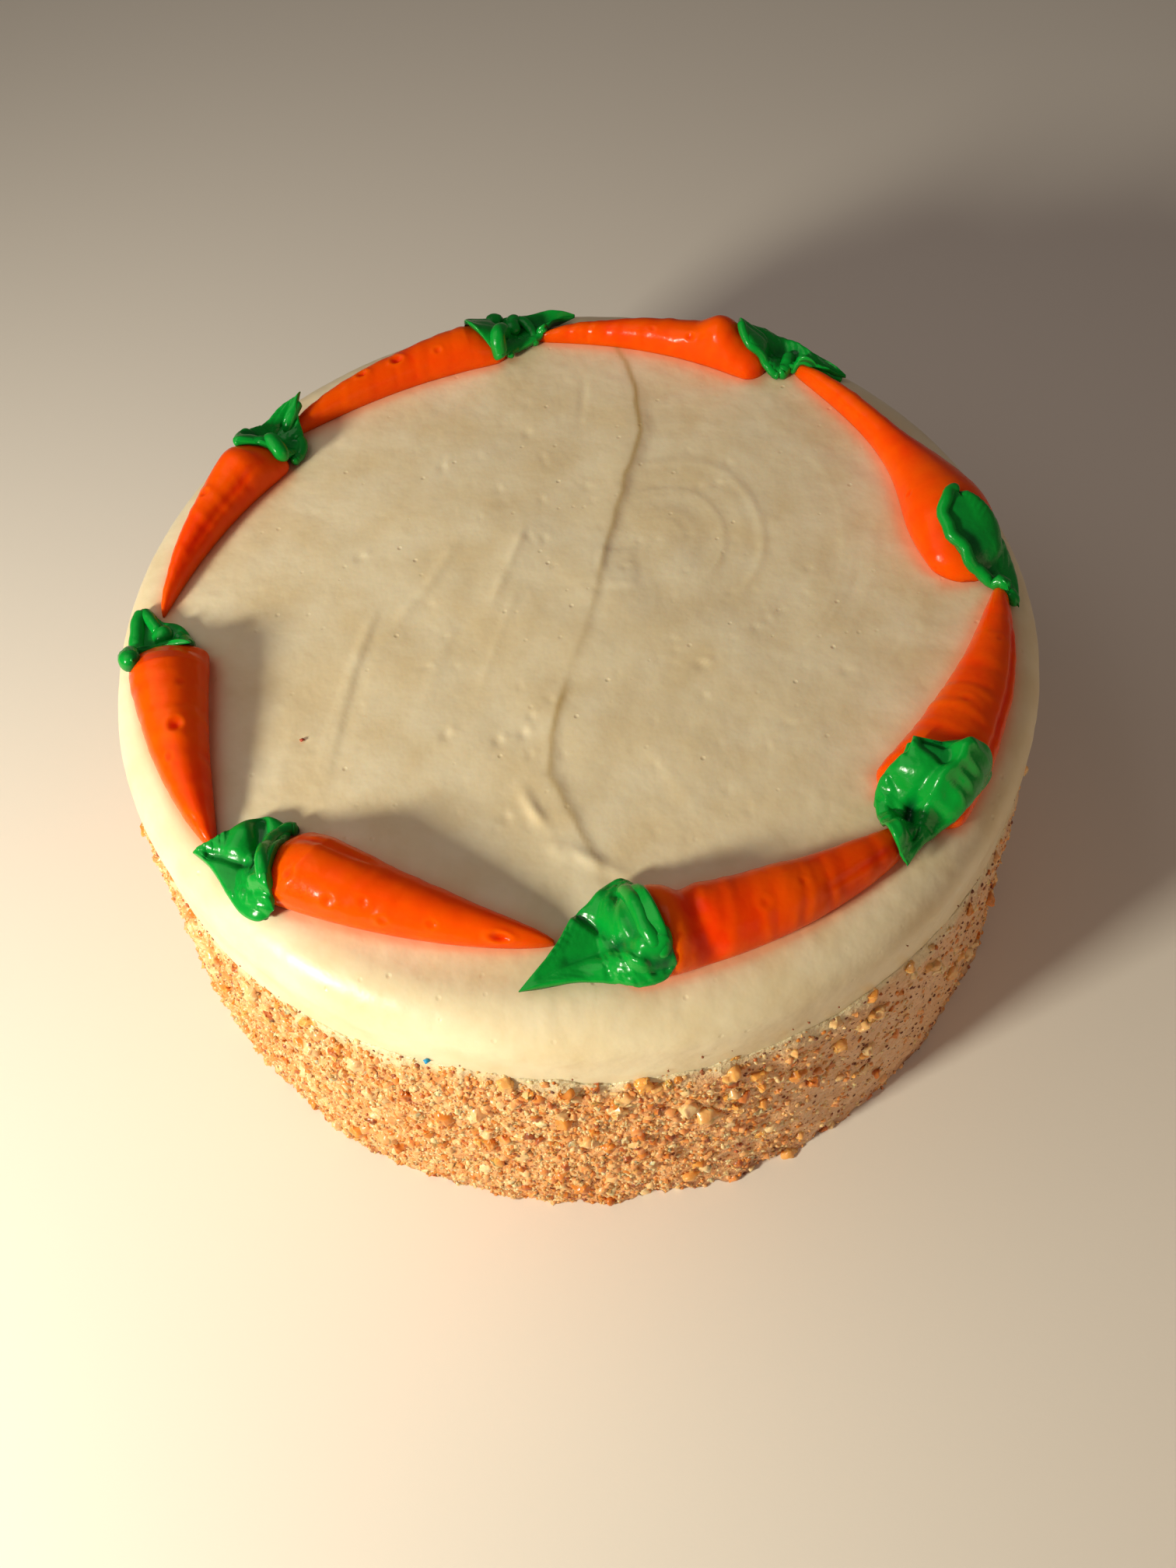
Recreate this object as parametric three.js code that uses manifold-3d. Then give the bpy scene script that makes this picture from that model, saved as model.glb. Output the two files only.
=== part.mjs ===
// Carrot cake: a round cake in cream cheese icing, coated round its lower side with
// chopped walnut, with eight piped buttercream carrots and their leaves in a ring on top.
// Millimetres, +Z up. The origin is the centre of the underside.
import * as THREE from 'three';
import { mergeVertices } from 'three/addons/utils/BufferGeometryUtils.js';
import Module from 'manifold-3d';

const wasm = await Module();
wasm.setup();

// ---- driving dimensions ----
const CAKE = {
  radius: 108,          // icing side
  height: 87,           // underside to flat top
  shoulder: 10,         // rounding between top and side
  footRadius: 110.5,    // the side spreads a little towards the plate
  sides: 96,            // steps round the cake
  reliefRadius: 80,     // spatula relief stops inside the ring of carrots
  topRings: [66, 50, 34, 17],
  shoulderTurns: [30, 60, 90],
};
const SEAM = {          // ridge left where two sweeps of the spatula met
  start: 4.5,           // x of the ridge at the middle of the top
  lean: 0.21,           // x gained for each mm of y
  wander: 2.5,          // how far it bends to each side
  wanderLength: 14,
  height: 1.0,
  width: 4.5,
};
const WAVE = { height: 0.35, length: [17, 21] }; // shallow waves left by the spatula
const COAT = {
  height: 65,           // mean height of the upper edge
  edgeRise: 2.3,        // how far that edge rises and falls, in waves round the cake
  edgeWaves: [
    { count: 3, size: 1, start: 0.6 },
    { count: 7, size: 0.7, start: 2 },
    { count: 13, size: 0.5, start: 0 },
  ],
  lip: 0.8,             // the edge slopes back by this much
  topThickness: 1.3,
  footRadius: 113.2,
  flare: 0.8,
  spare: 1,             // it is made this much too deep, then cut to fit the icing
  sides: 84,            // steps round its outside
  rows: 12,             // steps up its outside
  crumble: 2.2,         // how far the ground nut stands out unevenly
  chunks: 52,
  chunkSize: [3.2, 5.6],
  chunkFlat: [0.7, 0.9],
  seed: 11,
};
const GAP = 0.3;        // clearance between pieces that touch
const CARROT = {
  stations: 15,         // steps along a carrot
  reach: [0.012, 0.985], // where the first and last step lie
  arch: 8,              // steps over its back
  beadSpan: 25.4,       // degrees by which the round back passes below its widest line
  waistHeight: 0.3,     // share of the height at which it is widest
  half: 9,              // half width of a common head
  height: 11.5,         // and its height
  heightPower: 0.65,    // thinner beads are relatively taller
  headRound: 0.07,      // share of the length in which the head rounds off
  headSlope: 0.17,      // share of the length in which its back comes down
};
const LEAF = { rows: 7, columns: 6, thickness: 1.5 };

// One row for each carrot, anticlockwise from the left front: angles of head and tip in
// degrees, radius of the centre line at head, middle and tip, half width of the head,
// taper power, and where along it the head is widest. Some have a neck, which keeps only
// that share of the width, or a curl of that height standing up behind the head.
const CARROTS = [
  { head: -136.5, tip: -95.5, path: [91.3, 85.8, 87.0], half: 9.0, taper: 0.64, widest: 0.12 },
  { head: -88.0, tip: -46.0, path: [88.0, 89.4, 94.5], half: 9.2, taper: 0.42, widest: 0.1 },
  { head: -44.0, tip: -3.2, path: [91.5, 93.3, 98.0], half: 10.3, taper: 0.6, widest: 0.1 },
  { head: -1.8, tip: 49.0, path: [92.0, 91.7, 96.0], half: 9.8, taper: 0.3, widest: 0.2, neck: 0.4 },
  { head: 53.0, tip: 92.5, path: [92.0, 92.2, 92.5], half: 6.0, taper: 0.6, widest: 0.12, curl: 3.5 },
  { head: 97.5, tip: 138.5, path: [91.5, 91.0, 93.5], half: 6.0, taper: 0.5, widest: 0.12 },
  { head: 142.0, tip: 177.0, path: [91.5, 93.2, 96.0], half: 7.0, taper: 0.72, widest: 0.12, curl: 1.5 },
  { head: 184.0, tip: 217.0, path: [93.0, 93.5, 98.0], half: 9.0, taper: 0.6, widest: 0.14 },
];
const NECK_REACH = 0.25; // how far the bulb of a necked carrot spreads along it
const CURL_PLACE = 0.22; // where along the carrot a curl stands
const CURL_REACH = 0.07;

// One row for each leaf, at the head of the carrot of the same number: base and tip in
// mm, half widths to the left and right of the midrib looking towards the tip, where it
// is widest, depth of the fold along the midrib, and the number of ruffles along its
// edges. Some have a tip that stands up.
const LEAVES = [
  { base: [-63, -68], tip: [-83, -59.5], left: 12, right: 11, widest: 0.25, fold: 1.5, ruffles: 1.5 },
  { base: [11, -88], tip: [-16, -96.5], left: 12, right: 11, widest: 0.25, fold: 1.2, ruffles: 2.5 },
  { base: [75, -53], tip: [63, -75.5], left: 12, right: 12.5, widest: 0.3, fold: 2.2, ruffles: 3 },
  { base: [89, 15], tip: [101, -11], left: 5, right: 7.5, widest: 0.4, fold: 1.2, ruffles: 2 },
  { base: [51, 79], tip: [75, 69.5], left: 8, right: 8, widest: 0.35, fold: 1.5, ruffles: 2.5 },
  { base: [-20, 92], tip: [6, 98], left: 6.5, right: 9.5, widest: 0.35, fold: 1.5, ruffles: 3.5 },
  { base: [-75, 52], tip: [-66, 66], left: 9.5, right: 9.5, widest: 0.35, fold: 1.5, ruffles: 2, rise: 4 },
  { base: [-94, -9], tip: [-97.5, 6], left: 8.5, right: 8, widest: 0.4, fold: 0.8, ruffles: 2.5 },
];
const LEAF_BASE_SHARE = 0.55; // width at the base as a share of the widest
const LEAF_TIP_SHARE = 0.04;   // and at the tip
const LEAF_REST = 0.85;       // clearance from what a leaf lies on
const RUFFLE_HEIGHT = 0.7;
const DRAPE = { reach: 3.2, samples: 8 }; // how far a leaf spans over a steep side

// ---- looks ----
const icing = new THREE.MeshStandardMaterial({ color: 0xe6dab4, roughness: 0.45, metalness: 0 });
const walnut = new THREE.MeshStandardMaterial({ color: 0xcf9f68, roughness: 0.8, metalness: 0 });
const orange = new THREE.MeshStandardMaterial({ color: 0xff6208, roughness: 0.3, metalness: 0 });
const green = new THREE.MeshStandardMaterial({ color: 0x0a8a33, roughness: 0.3, metalness: 0 });

// ---- small helpers ----
const rad = THREE.MathUtils.degToRad;
const lerp = THREE.MathUtils.lerp;
const clamp = THREE.MathUtils.clamp;

function seeded(seed) {
  let state = seed;
  return () => {
    state = (state * 1664525 + 1013904223) % 4294967296;
    return state / 4294967296;
  };
}

// A geometry from rings of points: neighbours are joined all the way round, and the
// first and last ring are closed with a fan to their middle, or joined to each other.
function loft(rings, { loop = false } = {}) {
  const points = rings.flat();
  const count = rings[0].length;
  const index = [];
  const last = loop ? rings.length : rings.length - 1;
  for (let i = 0; i < last; i++) {
    const a = i * count;
    const b = ((i + 1) % rings.length) * count;
    for (let j = 0; j < count; j++) {
      const k = (j + 1) % count;
      index.push(a + j, a + k, b + k, a + j, b + k, b + j);
    }
  }
  if (!loop) {
    for (const [start, flip] of [[0, true], [(rings.length - 1) * count, false]]) {
      const middle = new THREE.Vector3();
      for (let j = 0; j < count; j++) middle.addScaledVector(points[start + j], 1 / count);
      points.push(middle);
      for (let j = 0; j < count; j++) {
        const k = (j + 1) % count;
        const edge = flip ? [start + k, start + j] : [start + j, start + k];
        index.push(...edge, points.length - 1);
      }
    }
  }
  const geometry = new THREE.BufferGeometry().setFromPoints(points);
  geometry.setIndex(index);
  return geometry;
}

function toSolid(geometry) {
  const bare = geometry.clone();
  bare.deleteAttribute('normal');
  bare.deleteAttribute('uv');
  const merged = mergeVertices(bare, 1e-4);
  const vertProperties = new Float32Array(merged.attributes.position.array);
  const triVerts = new Uint32Array(merged.index.array);
  return new wasm.Manifold(new wasm.Mesh({ numProp: 3, vertProperties, triVerts }));
}

function fromSolid(solid) {
  const mesh = solid.getMesh();
  const geometry = new THREE.BufferGeometry();
  geometry.setAttribute('position', new THREE.BufferAttribute(new Float32Array(mesh.vertProperties), 3));
  geometry.setIndex(Array.from(mesh.triVerts));
  return geometry;
}

// ---- the iced cake ----
// Height of the icing over a point of the plan: the flat top, then the round shoulder.
function icingHeight(x, y) {
  const past = Math.hypot(x, y) - (CAKE.radius - CAKE.shoulder);
  if (past <= 0) return CAKE.height;
  const across = Math.min(past, CAKE.shoulder);
  return CAKE.height - CAKE.shoulder + Math.sqrt(CAKE.shoulder ** 2 - across ** 2);
}

// What the spatula left: one ridge across the top, and shallow waves.
function relief(x, y) {
  const away = Math.hypot(x, y) / CAKE.reliefRadius;
  if (away >= 1) return 0;
  const ridgeX = SEAM.start + SEAM.lean * y + SEAM.wander * Math.sin(y / SEAM.wanderLength);
  const ridge = SEAM.height * Math.exp(-(((x - ridgeX) / SEAM.width) ** 2));
  const waves = WAVE.height * (Math.sin(x / WAVE.length[0] + 1) * Math.sin(y / WAVE.length[1] + 2) - 1);
  return (ridge + waves) * (1 - away ** 4);
}

function icedCake() {
  const { radius, height, shoulder, footRadius, sides, reliefRadius } = CAKE;
  const profile = [[footRadius, 0], [radius, COAT.height], [radius, height - shoulder]];
  for (const turn of CAKE.shoulderTurns) {
    const a = rad(turn);
    profile.push([radius - shoulder * (1 - Math.cos(a)), height - shoulder * (1 - Math.sin(a))]);
  }
  for (const r of [reliefRadius, ...CAKE.topRings]) profile.push([r, height]);
  const rings = profile.map(([r, z]) => {
    const ring = [];
    for (let i = 0; i < sides; i++) {
      const a = (i / sides) * 2 * Math.PI;
      const x = r * Math.cos(a);
      const y = r * Math.sin(a);
      ring.push(new THREE.Vector3(x, y, z === height ? z + relief(x, y) : z));
    }
    return ring;
  });
  return loft(rings);
}

// ---- the walnut coat ----
function coatEdge(a) {
  let edge = COAT.height;
  for (const { count, size, start } of COAT.edgeWaves) {
    edge += COAT.edgeRise * size * Math.sin(count * a + start);
  }
  return edge;
}

// The coat thickens towards the foot.
function coatRadius(z) {
  const share = clamp(z / COAT.height, 0, 1);
  return lerp(COAT.footRadius, CAKE.radius + COAT.topThickness, share ** COAT.flare);
}

function backRadius(z) {
  const share = Math.min(z / COAT.height, 1);
  return lerp(CAKE.footRadius, CAKE.radius, share) + GAP;
}

// The ground nut is a wall of uneven lumps: each point stands out by its own amount.
function coatBody(random) {
  const rings = [];
  for (let i = 0; i < COAT.sides; i++) {
    const a = (i / COAT.sides) * 2 * Math.PI;
    const edge = coatEdge(a);
    const at = (r, z) => new THREE.Vector3(r * Math.cos(a), r * Math.sin(a), z);
    const ring = [at(backRadius(edge) - COAT.spare, edge), at(backRadius(0) - COAT.spare, 0)];
    for (let row = 0; row <= COAT.rows; row++) {
      const z = (edge - COAT.lip) * (row / COAT.rows);
      ring.push(at(coatRadius(z) + COAT.crumble * (row < COAT.rows ? random() ** 2 : 0), z));
    }
    rings.push(ring.reverse());
  }
  return toSolid(loft(rings, { loop: true }));
}

// A chunk is a flattened icosahedron. Golden-angle steps spread the chunks evenly.
function walnutCoat() {
  const random = seeded(COAT.seed);
  const pieces = [coatBody(random)];
  const goldenAngle = Math.PI * (3 - Math.sqrt(5));
  for (let i = 0; i < COAT.chunks; i++) {
    const a = i * goldenAngle;
    const size = lerp(...COAT.chunkSize, random() ** 2);
    const z = lerp(size, coatEdge(a) - size, (i + 0.5) / COAT.chunks);
    const r = coatRadius(z);
    const chunk = new THREE.IcosahedronGeometry(size, 0);
    chunk.rotateX(random() * Math.PI);
    chunk.scale(lerp(...COAT.chunkFlat, random()), 1, lerp(...COAT.chunkFlat, random()));
    chunk.rotateZ(a);
    chunk.translate(r * Math.cos(a), r * Math.sin(a), z);
    pieces.push(toSolid(chunk));
  }
  const coat = wasm.Manifold.union(pieces);
  const profile = [[0, -1], [backRadius(0), -1], [backRadius(0), 0], [backRadius(COAT.height), COAT.height],
    [backRadius(COAT.height), CAKE.height], [0, CAKE.height]];
  const core = new THREE.LatheGeometry(profile.map(([r, z]) => new THREE.Vector2(r, z)), CAKE.sides);
  core.rotateX(Math.PI / 2);
  return fromSolid(coat.subtract(toSolid(core)));
}

// ---- the carrots ----
function carrotHalfWidth(c, t) {
  const { neck = 1 } = c;
  const along = clamp((1 - t) / (1 - c.widest), 0, 1);
  const bulb = Math.exp(-(((t - c.widest) / NECK_REACH) ** 2));
  const share = (1 - neck) * bulb + neck * along ** c.taper;
  const head = t < CARROT.headRound ? Math.sqrt(1 - (1 - t / CARROT.headRound) ** 2) : 1;
  return c.half * share * head;
}

function carrotHeight(c, t) {
  const { curl = 0 } = c;
  const bead = CARROT.height * (carrotHalfWidth(c, t) / CARROT.half) ** CARROT.heightPower;
  const slope = lerp(0.5, 1, Math.min(t / CARROT.headSlope, 1));
  return bead * slope + curl * Math.exp(-(((t - CURL_PLACE) / CURL_REACH) ** 2));
}

// Radius of the centre line: a parabola through its three given radii.
function carrotPath(c, t) {
  const [head, middle, tip] = c.path;
  return head * (1 - t) * (1 - 2 * t) + 4 * middle * t * (1 - t) + tip * t * (2 * t - 1);
}

function carrotGeometry(c, grow = 0) {
  const { stations, arch, beadSpan, waistHeight } = CARROT;
  const rings = [];
  for (let i = 0; i <= stations; i++) {
    const t = lerp(...CARROT.reach, i / stations);
    const a = rad(lerp(c.head, c.tip, t));
    const half = carrotHalfWidth(c, t) + grow;
    const height = carrotHeight(c, t) + grow;
    const section = [];
    for (let j = 0; j <= arch; j++) {
      const turn = rad(lerp(-beadSpan, 180 + beadSpan, j / arch));
      section.push([half * Math.cos(turn), height * (waistHeight + (1 - waistHeight) * Math.sin(turn))]);
    }
    section.push([-half / 3, 0], [half / 3, 0]);
    rings.push(section.map(([across, up]) => {
      const r = carrotPath(c, t) + across;
      const x = r * Math.cos(a);
      const y = r * Math.sin(a);
      return new THREE.Vector3(x, y, icingHeight(x, y) + Math.max(up, 0) + GAP - grow);
    }));
  }
  return loft(rings.map((ring) => ring.reverse()));
}

// Height of the icing, or of the carrot that lies over it, at a point of the plan.
function supportHeight(x, y) {
  let height = icingHeight(x, y);
  const a = THREE.MathUtils.radToDeg(Math.atan2(y, x));
  for (const c of CARROTS) {
    for (const turn of [-360, 0, 360]) {
      const t = (a + turn - c.head) / (c.tip - c.head);
      if (t <= 0 || t >= 1) continue;
      const across = (Math.hypot(x, y) - carrotPath(c, t)) / carrotHalfWidth(c, t);
      if (Math.abs(across) >= 1) continue;
      const { waistHeight } = CARROT;
      const back = waistHeight + (1 - waistHeight) * Math.sqrt(1 - across ** 2);
      height = Math.max(height, icingHeight(x, y) + GAP + carrotHeight(c, t) * back);
    }
  }
  return height;
}

// ---- the leaves ----
// A leaf bridges the steep side of what it lies on, so it rests on a softened height.
function drapeHeight(x, y) {
  let sum = 0;
  for (let i = 0; i < DRAPE.samples; i++) {
    const a = (i / DRAPE.samples) * 2 * Math.PI;
    sum += supportHeight(x + DRAPE.reach * Math.cos(a), y + DRAPE.reach * Math.sin(a));
  }
  return Math.max(supportHeight(x, y), sum / DRAPE.samples);
}

function leafGeometry(leaf) {
  const base = new THREE.Vector2(...leaf.base);
  const along = new THREE.Vector2(...leaf.tip).sub(base);
  const left = new THREE.Vector2(-along.y, along.x).normalize();
  const { rows, columns, thickness } = LEAF;
  const top = [];
  for (let i = 0; i <= rows; i++) {
    const t = i / rows;
    const rise = Math.min(t / leaf.widest, 1);
    const fall = clamp((1 - t) / (1 - leaf.widest), LEAF_TIP_SHARE, 1);
    const share = lerp(LEAF_BASE_SHARE, 1, Math.sin((rise * Math.PI) / 2)) * fall;
    for (let j = 0; j <= columns; j++) {
      const side = 1 - (2 * j) / columns;
      const reach = (side < 0 ? leaf.right : leaf.left) * share * side;
      const x = base.x + along.x * t + left.x * reach;
      const y = base.y + along.y * t + left.y * reach;
      const fold = leaf.fold * Math.abs(side) * (1 - t);
      const ruffle = RUFFLE_HEIGHT * side ** 2 * (1 + Math.sin(leaf.ruffles * 2 * Math.PI * t + 2 * side));
      const lift = LEAF_REST + (leaf.rise ?? 0) * t ** 2;
      top.push(new THREE.Vector3(x, y, drapeHeight(x, y) + lift + fold + ruffle));
    }
  }
  return slab(top, rows, columns, thickness);
}

// A thin closed body: a grid of points, the same grid lower down, and a rim.
function slab(top, rows, columns, thickness) {
  const wide = columns + 1;
  const under = top.length;
  const points = [...top.map((p) => new THREE.Vector3(p.x, p.y, p.z + thickness)), ...top];
  const index = [];
  const quad = (a, b, c, d) => index.push(a, b, c, a, c, d);
  for (let i = 0; i < rows; i++) {
    for (let j = 0; j < columns; j++) {
      const a = i * wide + j;
      quad(a, a + 1, a + wide + 1, a + wide);
      quad(under + a, under + a + wide, under + a + wide + 1, under + a + 1);
    }
  }
  for (let i = 0; i < rows; i++) {
    const a = i * wide;
    quad(a, a + wide, under + a + wide, under + a);
    const b = a + columns;
    quad(b + wide, b, under + b, under + b + wide);
  }
  for (let j = 0; j < columns; j++) {
    quad(j + 1, j, under + j, under + j + 1);
    const b = rows * wide + j;
    quad(b, b + 1, under + b + 1, under + b);
  }
  const geometry = new THREE.BufferGeometry().setFromPoints(points);
  geometry.setIndex(index);
  return geometry;
}

// ---- the whole cake ----
const cake = new THREE.Group();

function add(name, geometry, material) {
  const mesh = new THREE.Mesh(geometry, material);
  mesh.name = name;
  cake.add(mesh);
}

add('iced_cake', icedCake(), icing);
add('nut_coat', walnutCoat(), walnut);
CARROTS.forEach((carrot, i) => add(`carrot_${i + 1}`, carrotGeometry(carrot), orange));
LEAVES.forEach((leaf, i) => {
  let solid = toSolid(leafGeometry(leaf));
  for (const carrot of CARROTS) solid = solid.subtract(toSolid(carrotGeometry(carrot, GAP)));
  add(`leaf_${i + 1}`, fromSolid(solid), green);
});

export default cake;
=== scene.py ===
"""Carrot cake: cream cheese icing, a coat of ground walnut round the lower side, and a
ring of eight piped buttercream carrots with their leaves.

Laid out as an add-on and run as a script: each operator makes one piece or one group of
like pieces around the frame. Shape functions work in millimetres with +Z up and the
origin at the centre of the underside, and make_mesh turns them to metres.
"""

import math
from functools import partial
from itertools import product
from types import SimpleNamespace

import bpy
import numpy as np
from bpy.props import FloatProperty, FloatVectorProperty, IntProperty, PointerProperty
from mathutils import Matrix, Vector


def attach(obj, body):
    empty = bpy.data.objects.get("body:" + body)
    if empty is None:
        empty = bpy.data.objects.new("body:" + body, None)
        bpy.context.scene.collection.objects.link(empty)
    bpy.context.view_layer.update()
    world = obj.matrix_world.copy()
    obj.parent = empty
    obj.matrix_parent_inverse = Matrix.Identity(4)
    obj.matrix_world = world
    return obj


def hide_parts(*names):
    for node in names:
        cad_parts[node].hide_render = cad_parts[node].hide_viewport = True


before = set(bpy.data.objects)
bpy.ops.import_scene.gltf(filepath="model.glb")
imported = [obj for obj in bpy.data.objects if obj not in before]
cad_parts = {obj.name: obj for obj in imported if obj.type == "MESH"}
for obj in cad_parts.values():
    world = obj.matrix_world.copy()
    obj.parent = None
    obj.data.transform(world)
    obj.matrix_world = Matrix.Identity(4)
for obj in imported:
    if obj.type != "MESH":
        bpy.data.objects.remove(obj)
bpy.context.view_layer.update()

bl_info = {
    "name": "Carrot cake",
    "version": (1, 0, 0),
    "blender": (4, 5, 0),
    "location": "3D View > Sidebar > Cake",
    "description": "Builds an iced carrot cake with a walnut coat and piped carrots",
    "category": "Add Mesh",
}

MM = 0.001
BODY = "root"


# ---- colours and properties ----
def linear(hex_code):
    """Turns an sRGB hex colour into the linear RGBA that the shaders take."""
    channels = [int(hex_code[i:i + 2], 16) / 255 for i in (0, 2, 4)]
    return (*(c / 12.92 if c <= 0.04045 else ((c + 0.055) / 1.055) ** 2.4 for c in channels), 1.0)


def length(name, description, millimetres):
    return FloatProperty(name=name, description=description, default=millimetres * MM,
                         min=0.0, precision=4, unit="LENGTH", subtype="DISTANCE")


def colour(name, description, hex_code):
    return FloatVectorProperty(name=name, description=description, size=4, min=0.0, max=1.0,
                               default=linear(hex_code), subtype="COLOR")


def count(name, description, default):
    return IntProperty(name=name, description=description, default=default, min=1)


class CakeIcing(bpy.types.PropertyGroup):
    radius: length("Radius", "Radius of the iced side", 108)
    height: length("Height", "Underside to flat top", 87)
    shoulder: length("Shoulder", "Rounding between the top and the side", 10)
    foot_radius: length("Foot radius", "The side spreads a little towards the plate", 110.5)
    cells: count("Cells", "Cells across the top", 240)
    cream: colour("Cream", "Cream cheese icing", "F2E1B9")
    shade: colour("Deeper cream", "Where the icing is thinner over the cake", "E8D2A4")
    stain: colour("Stain", "Icing that has drawn orange from the carrots", "EE9058")
    # painted shade: this darker, yellower cream marks the shaded step along the seam
    seam: colour("Seam", "Thin, oily icing along the seam", "BE9E60")


class CakeCoat(bpy.types.PropertyGroup):
    height: length("Height", "Mean height of the upper edge", 65)
    edge_rise: length("Edge rise", "How far that edge rises and falls", 2.3)
    foot_radius: length("Foot radius", "Radius of the bed of ground nut at the plate", 114.0)
    thickness: length("Thickness", "Thickness of the bed at its upper edge", 1.5)
    limit: length("Limit", "No crumb lies further out than this", 116.2)
    grain: length("Fine crumb", "Radius of the largest fine crumb", 1.05)
    chip: length("Chip", "Radius of the largest chip of nut", 1.9)
    lump: length("Lump", "Radius of the largest lump of nut", 2.6)
    crumbs: count("Fine crumbs", "Fine crumbs in each of the two layers", 7200)
    chips: count("Chips", "Chips of nut", 2150)
    lumps: count("Lumps", "Lumps of nut", 230)
    flakes: count("Flakes", "Flakes of dark skin", 3600)
    meal: colour("Meal", "Ground walnut bound with icing", "F6AC66")
    paste: colour("Paste", "The finest meal, on the smooth side", "E2B484")
    kernel: colour("Kernel", "Broken face of a kernel", "F0CB93")
    gold: colour("Golden kernel", "Oily kernel that light passes through", "DA842E")
    skin: colour("Skin", "Thin papery skin of the kernel", "94502C")
    dark_skin: colour("Dark skin", "Darkest skin", "6E402A")


class CakeCarrots(bpy.types.PropertyGroup):
    height: length("Height", "Height of a common head", 11.5)
    half: length("Half width", "Half width of a common head", 9)
    stations: count("Stations", "Steps along a carrot", 170)
    orange: colour("Orange", "Orange buttercream", "FF5A00")
    # painted shade: this deeper orange is put into the grooves and pits
    painted_shade: colour("Deep orange", "In creases, where the colour gathers", "F03A00")


class CakeLeaves(bpy.types.PropertyGroup):
    thickness: length("Thickness", "Thickness of a leaf near its middle", 2.2)
    rest: length("Rest", "Clearance from what a leaf lies on", 0.1)
    rows: count("Rows", "Steps along a leaf", 96)
    columns: count("Columns", "Steps across a leaf", 56)
    green: colour("Green", "Green buttercream", "04962E")
    # painted shade: this deeper green is put into the folds, hollows and undersides
    painted_shade: colour("Deep green", "In the folds, where the colour gathers", "055222")


class CakeStage(bpy.types.PropertyGroup):
    floor: colour("Floor", "Pale floor", "F1E7D6")
    focal: length("Focal length", "Focal length of the camera", 30.357)


class CakeProperties(bpy.types.PropertyGroup):
    icing: PointerProperty(type=CakeIcing)
    coat: PointerProperty(type=CakeCoat)
    carrots: PointerProperty(type=CakeCarrots)
    leaves: PointerProperty(type=CakeLeaves)
    stage: PointerProperty(type=CakeStage)


def in_mm(group):
    """The group's lengths in millimetres, its counts as they are and its colours as tuples."""
    values = {}
    for key in group.__annotations__:
        value = getattr(group, key)
        if isinstance(value, float):
            value = value / MM
        values[key] = value if isinstance(value, (int, float)) else tuple(value)
    return SimpleNamespace(**values)


# ---- shared shape functions ----
def smooth_step(value, low, high):
    share = np.clip((value - low) / (high - low), 0, 1)
    return share * share * (3 - 2 * share)


def bell(distance, reach):
    return np.exp(-((distance / reach) ** 2))


def lumpy(points, cell, seed=0):
    """Smooth random heights from -1 to 1 whose lumps are about one cell across."""
    place = np.asarray(points, float) / cell + 500.0
    corner = np.floor(place).astype(np.int64)
    part = place - corner
    part = part * part * (3 - 2 * part)
    primes = np.array([73856093, 19349663, 83492791])[: place.shape[1]]
    total = np.zeros(len(place))
    for step in product((0, 1), repeat=place.shape[1]):
        step = np.array(step)
        key = ((corner + step) * primes).sum(1) + seed * 7919
        key = ((key ^ (key >> 13)) * 1274126177) & 0xFFFFFFFF
        key = ((key ^ (key >> 16)) * 2246822519) & 0xFFFFFFFF
        total += np.prod(np.where(step, part, 1 - part), axis=1) * ((key & 0xFFFF) / 32767.5 - 1)
    return total


def ring_wall(ring_count, around, start=0):
    """Quads that join each ring of points to the next one, all the way round."""
    i, j = np.meshgrid(np.arange(ring_count - 1), np.arange(around), indexing="ij")
    a, b = i * around + j, i * around + (j + 1) % around
    return np.stack([a, b, b + around, a + around], -1).reshape(-1, 4) + start


def make_mesh(name, points, faces, attributes=None):
    """A mesh object at the origin, from points in millimetres and faces of any size."""
    mesh = bpy.data.meshes.new(name)
    mesh.from_pydata((np.asarray(points) * MM).tolist(), [], [list(map(int, f)) for f in faces])
    for key, values in (attributes or {}).items():
        layer = mesh.attributes.new(key, "FLOAT", "POINT")
        layer.data.foreach_set("value", np.asarray(values, np.float32))
    mesh.polygons.foreach_set("use_smooth", [True] * len(mesh.polygons))
    mesh.update()
    thing = bpy.data.objects.new(name, mesh)
    bpy.context.scene.collection.objects.link(thing)
    return thing


def finish_piece(thing, material, node):
    """Gives a piece its material and the body it rides on, and hides the part that it stands for."""
    if material is not None:
        thing.data.materials.clear()
        thing.data.materials.append(material)
    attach(thing, BODY)
    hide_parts(node)


def add_node(tree, kind, inputs=None, **settings):
    """Adds a node with its settings, and sets or links its inputs."""
    made = tree.nodes.new(kind)
    for key, value in settings.items():
        setattr(made, key, value)
    for key, value in (inputs or {}).items():
        if isinstance(value, bpy.types.NodeSocket):
            tree.links.new(value, made.inputs[key])
        else:
            made.inputs[key].default_value = value
    return made


def new_material(name):
    """A new material without nodes, and add_node for its tree."""
    material = bpy.data.materials.new(name)
    material.use_nodes = True
    material.node_tree.nodes.clear()
    return material, partial(add_node, material.node_tree)


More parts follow.
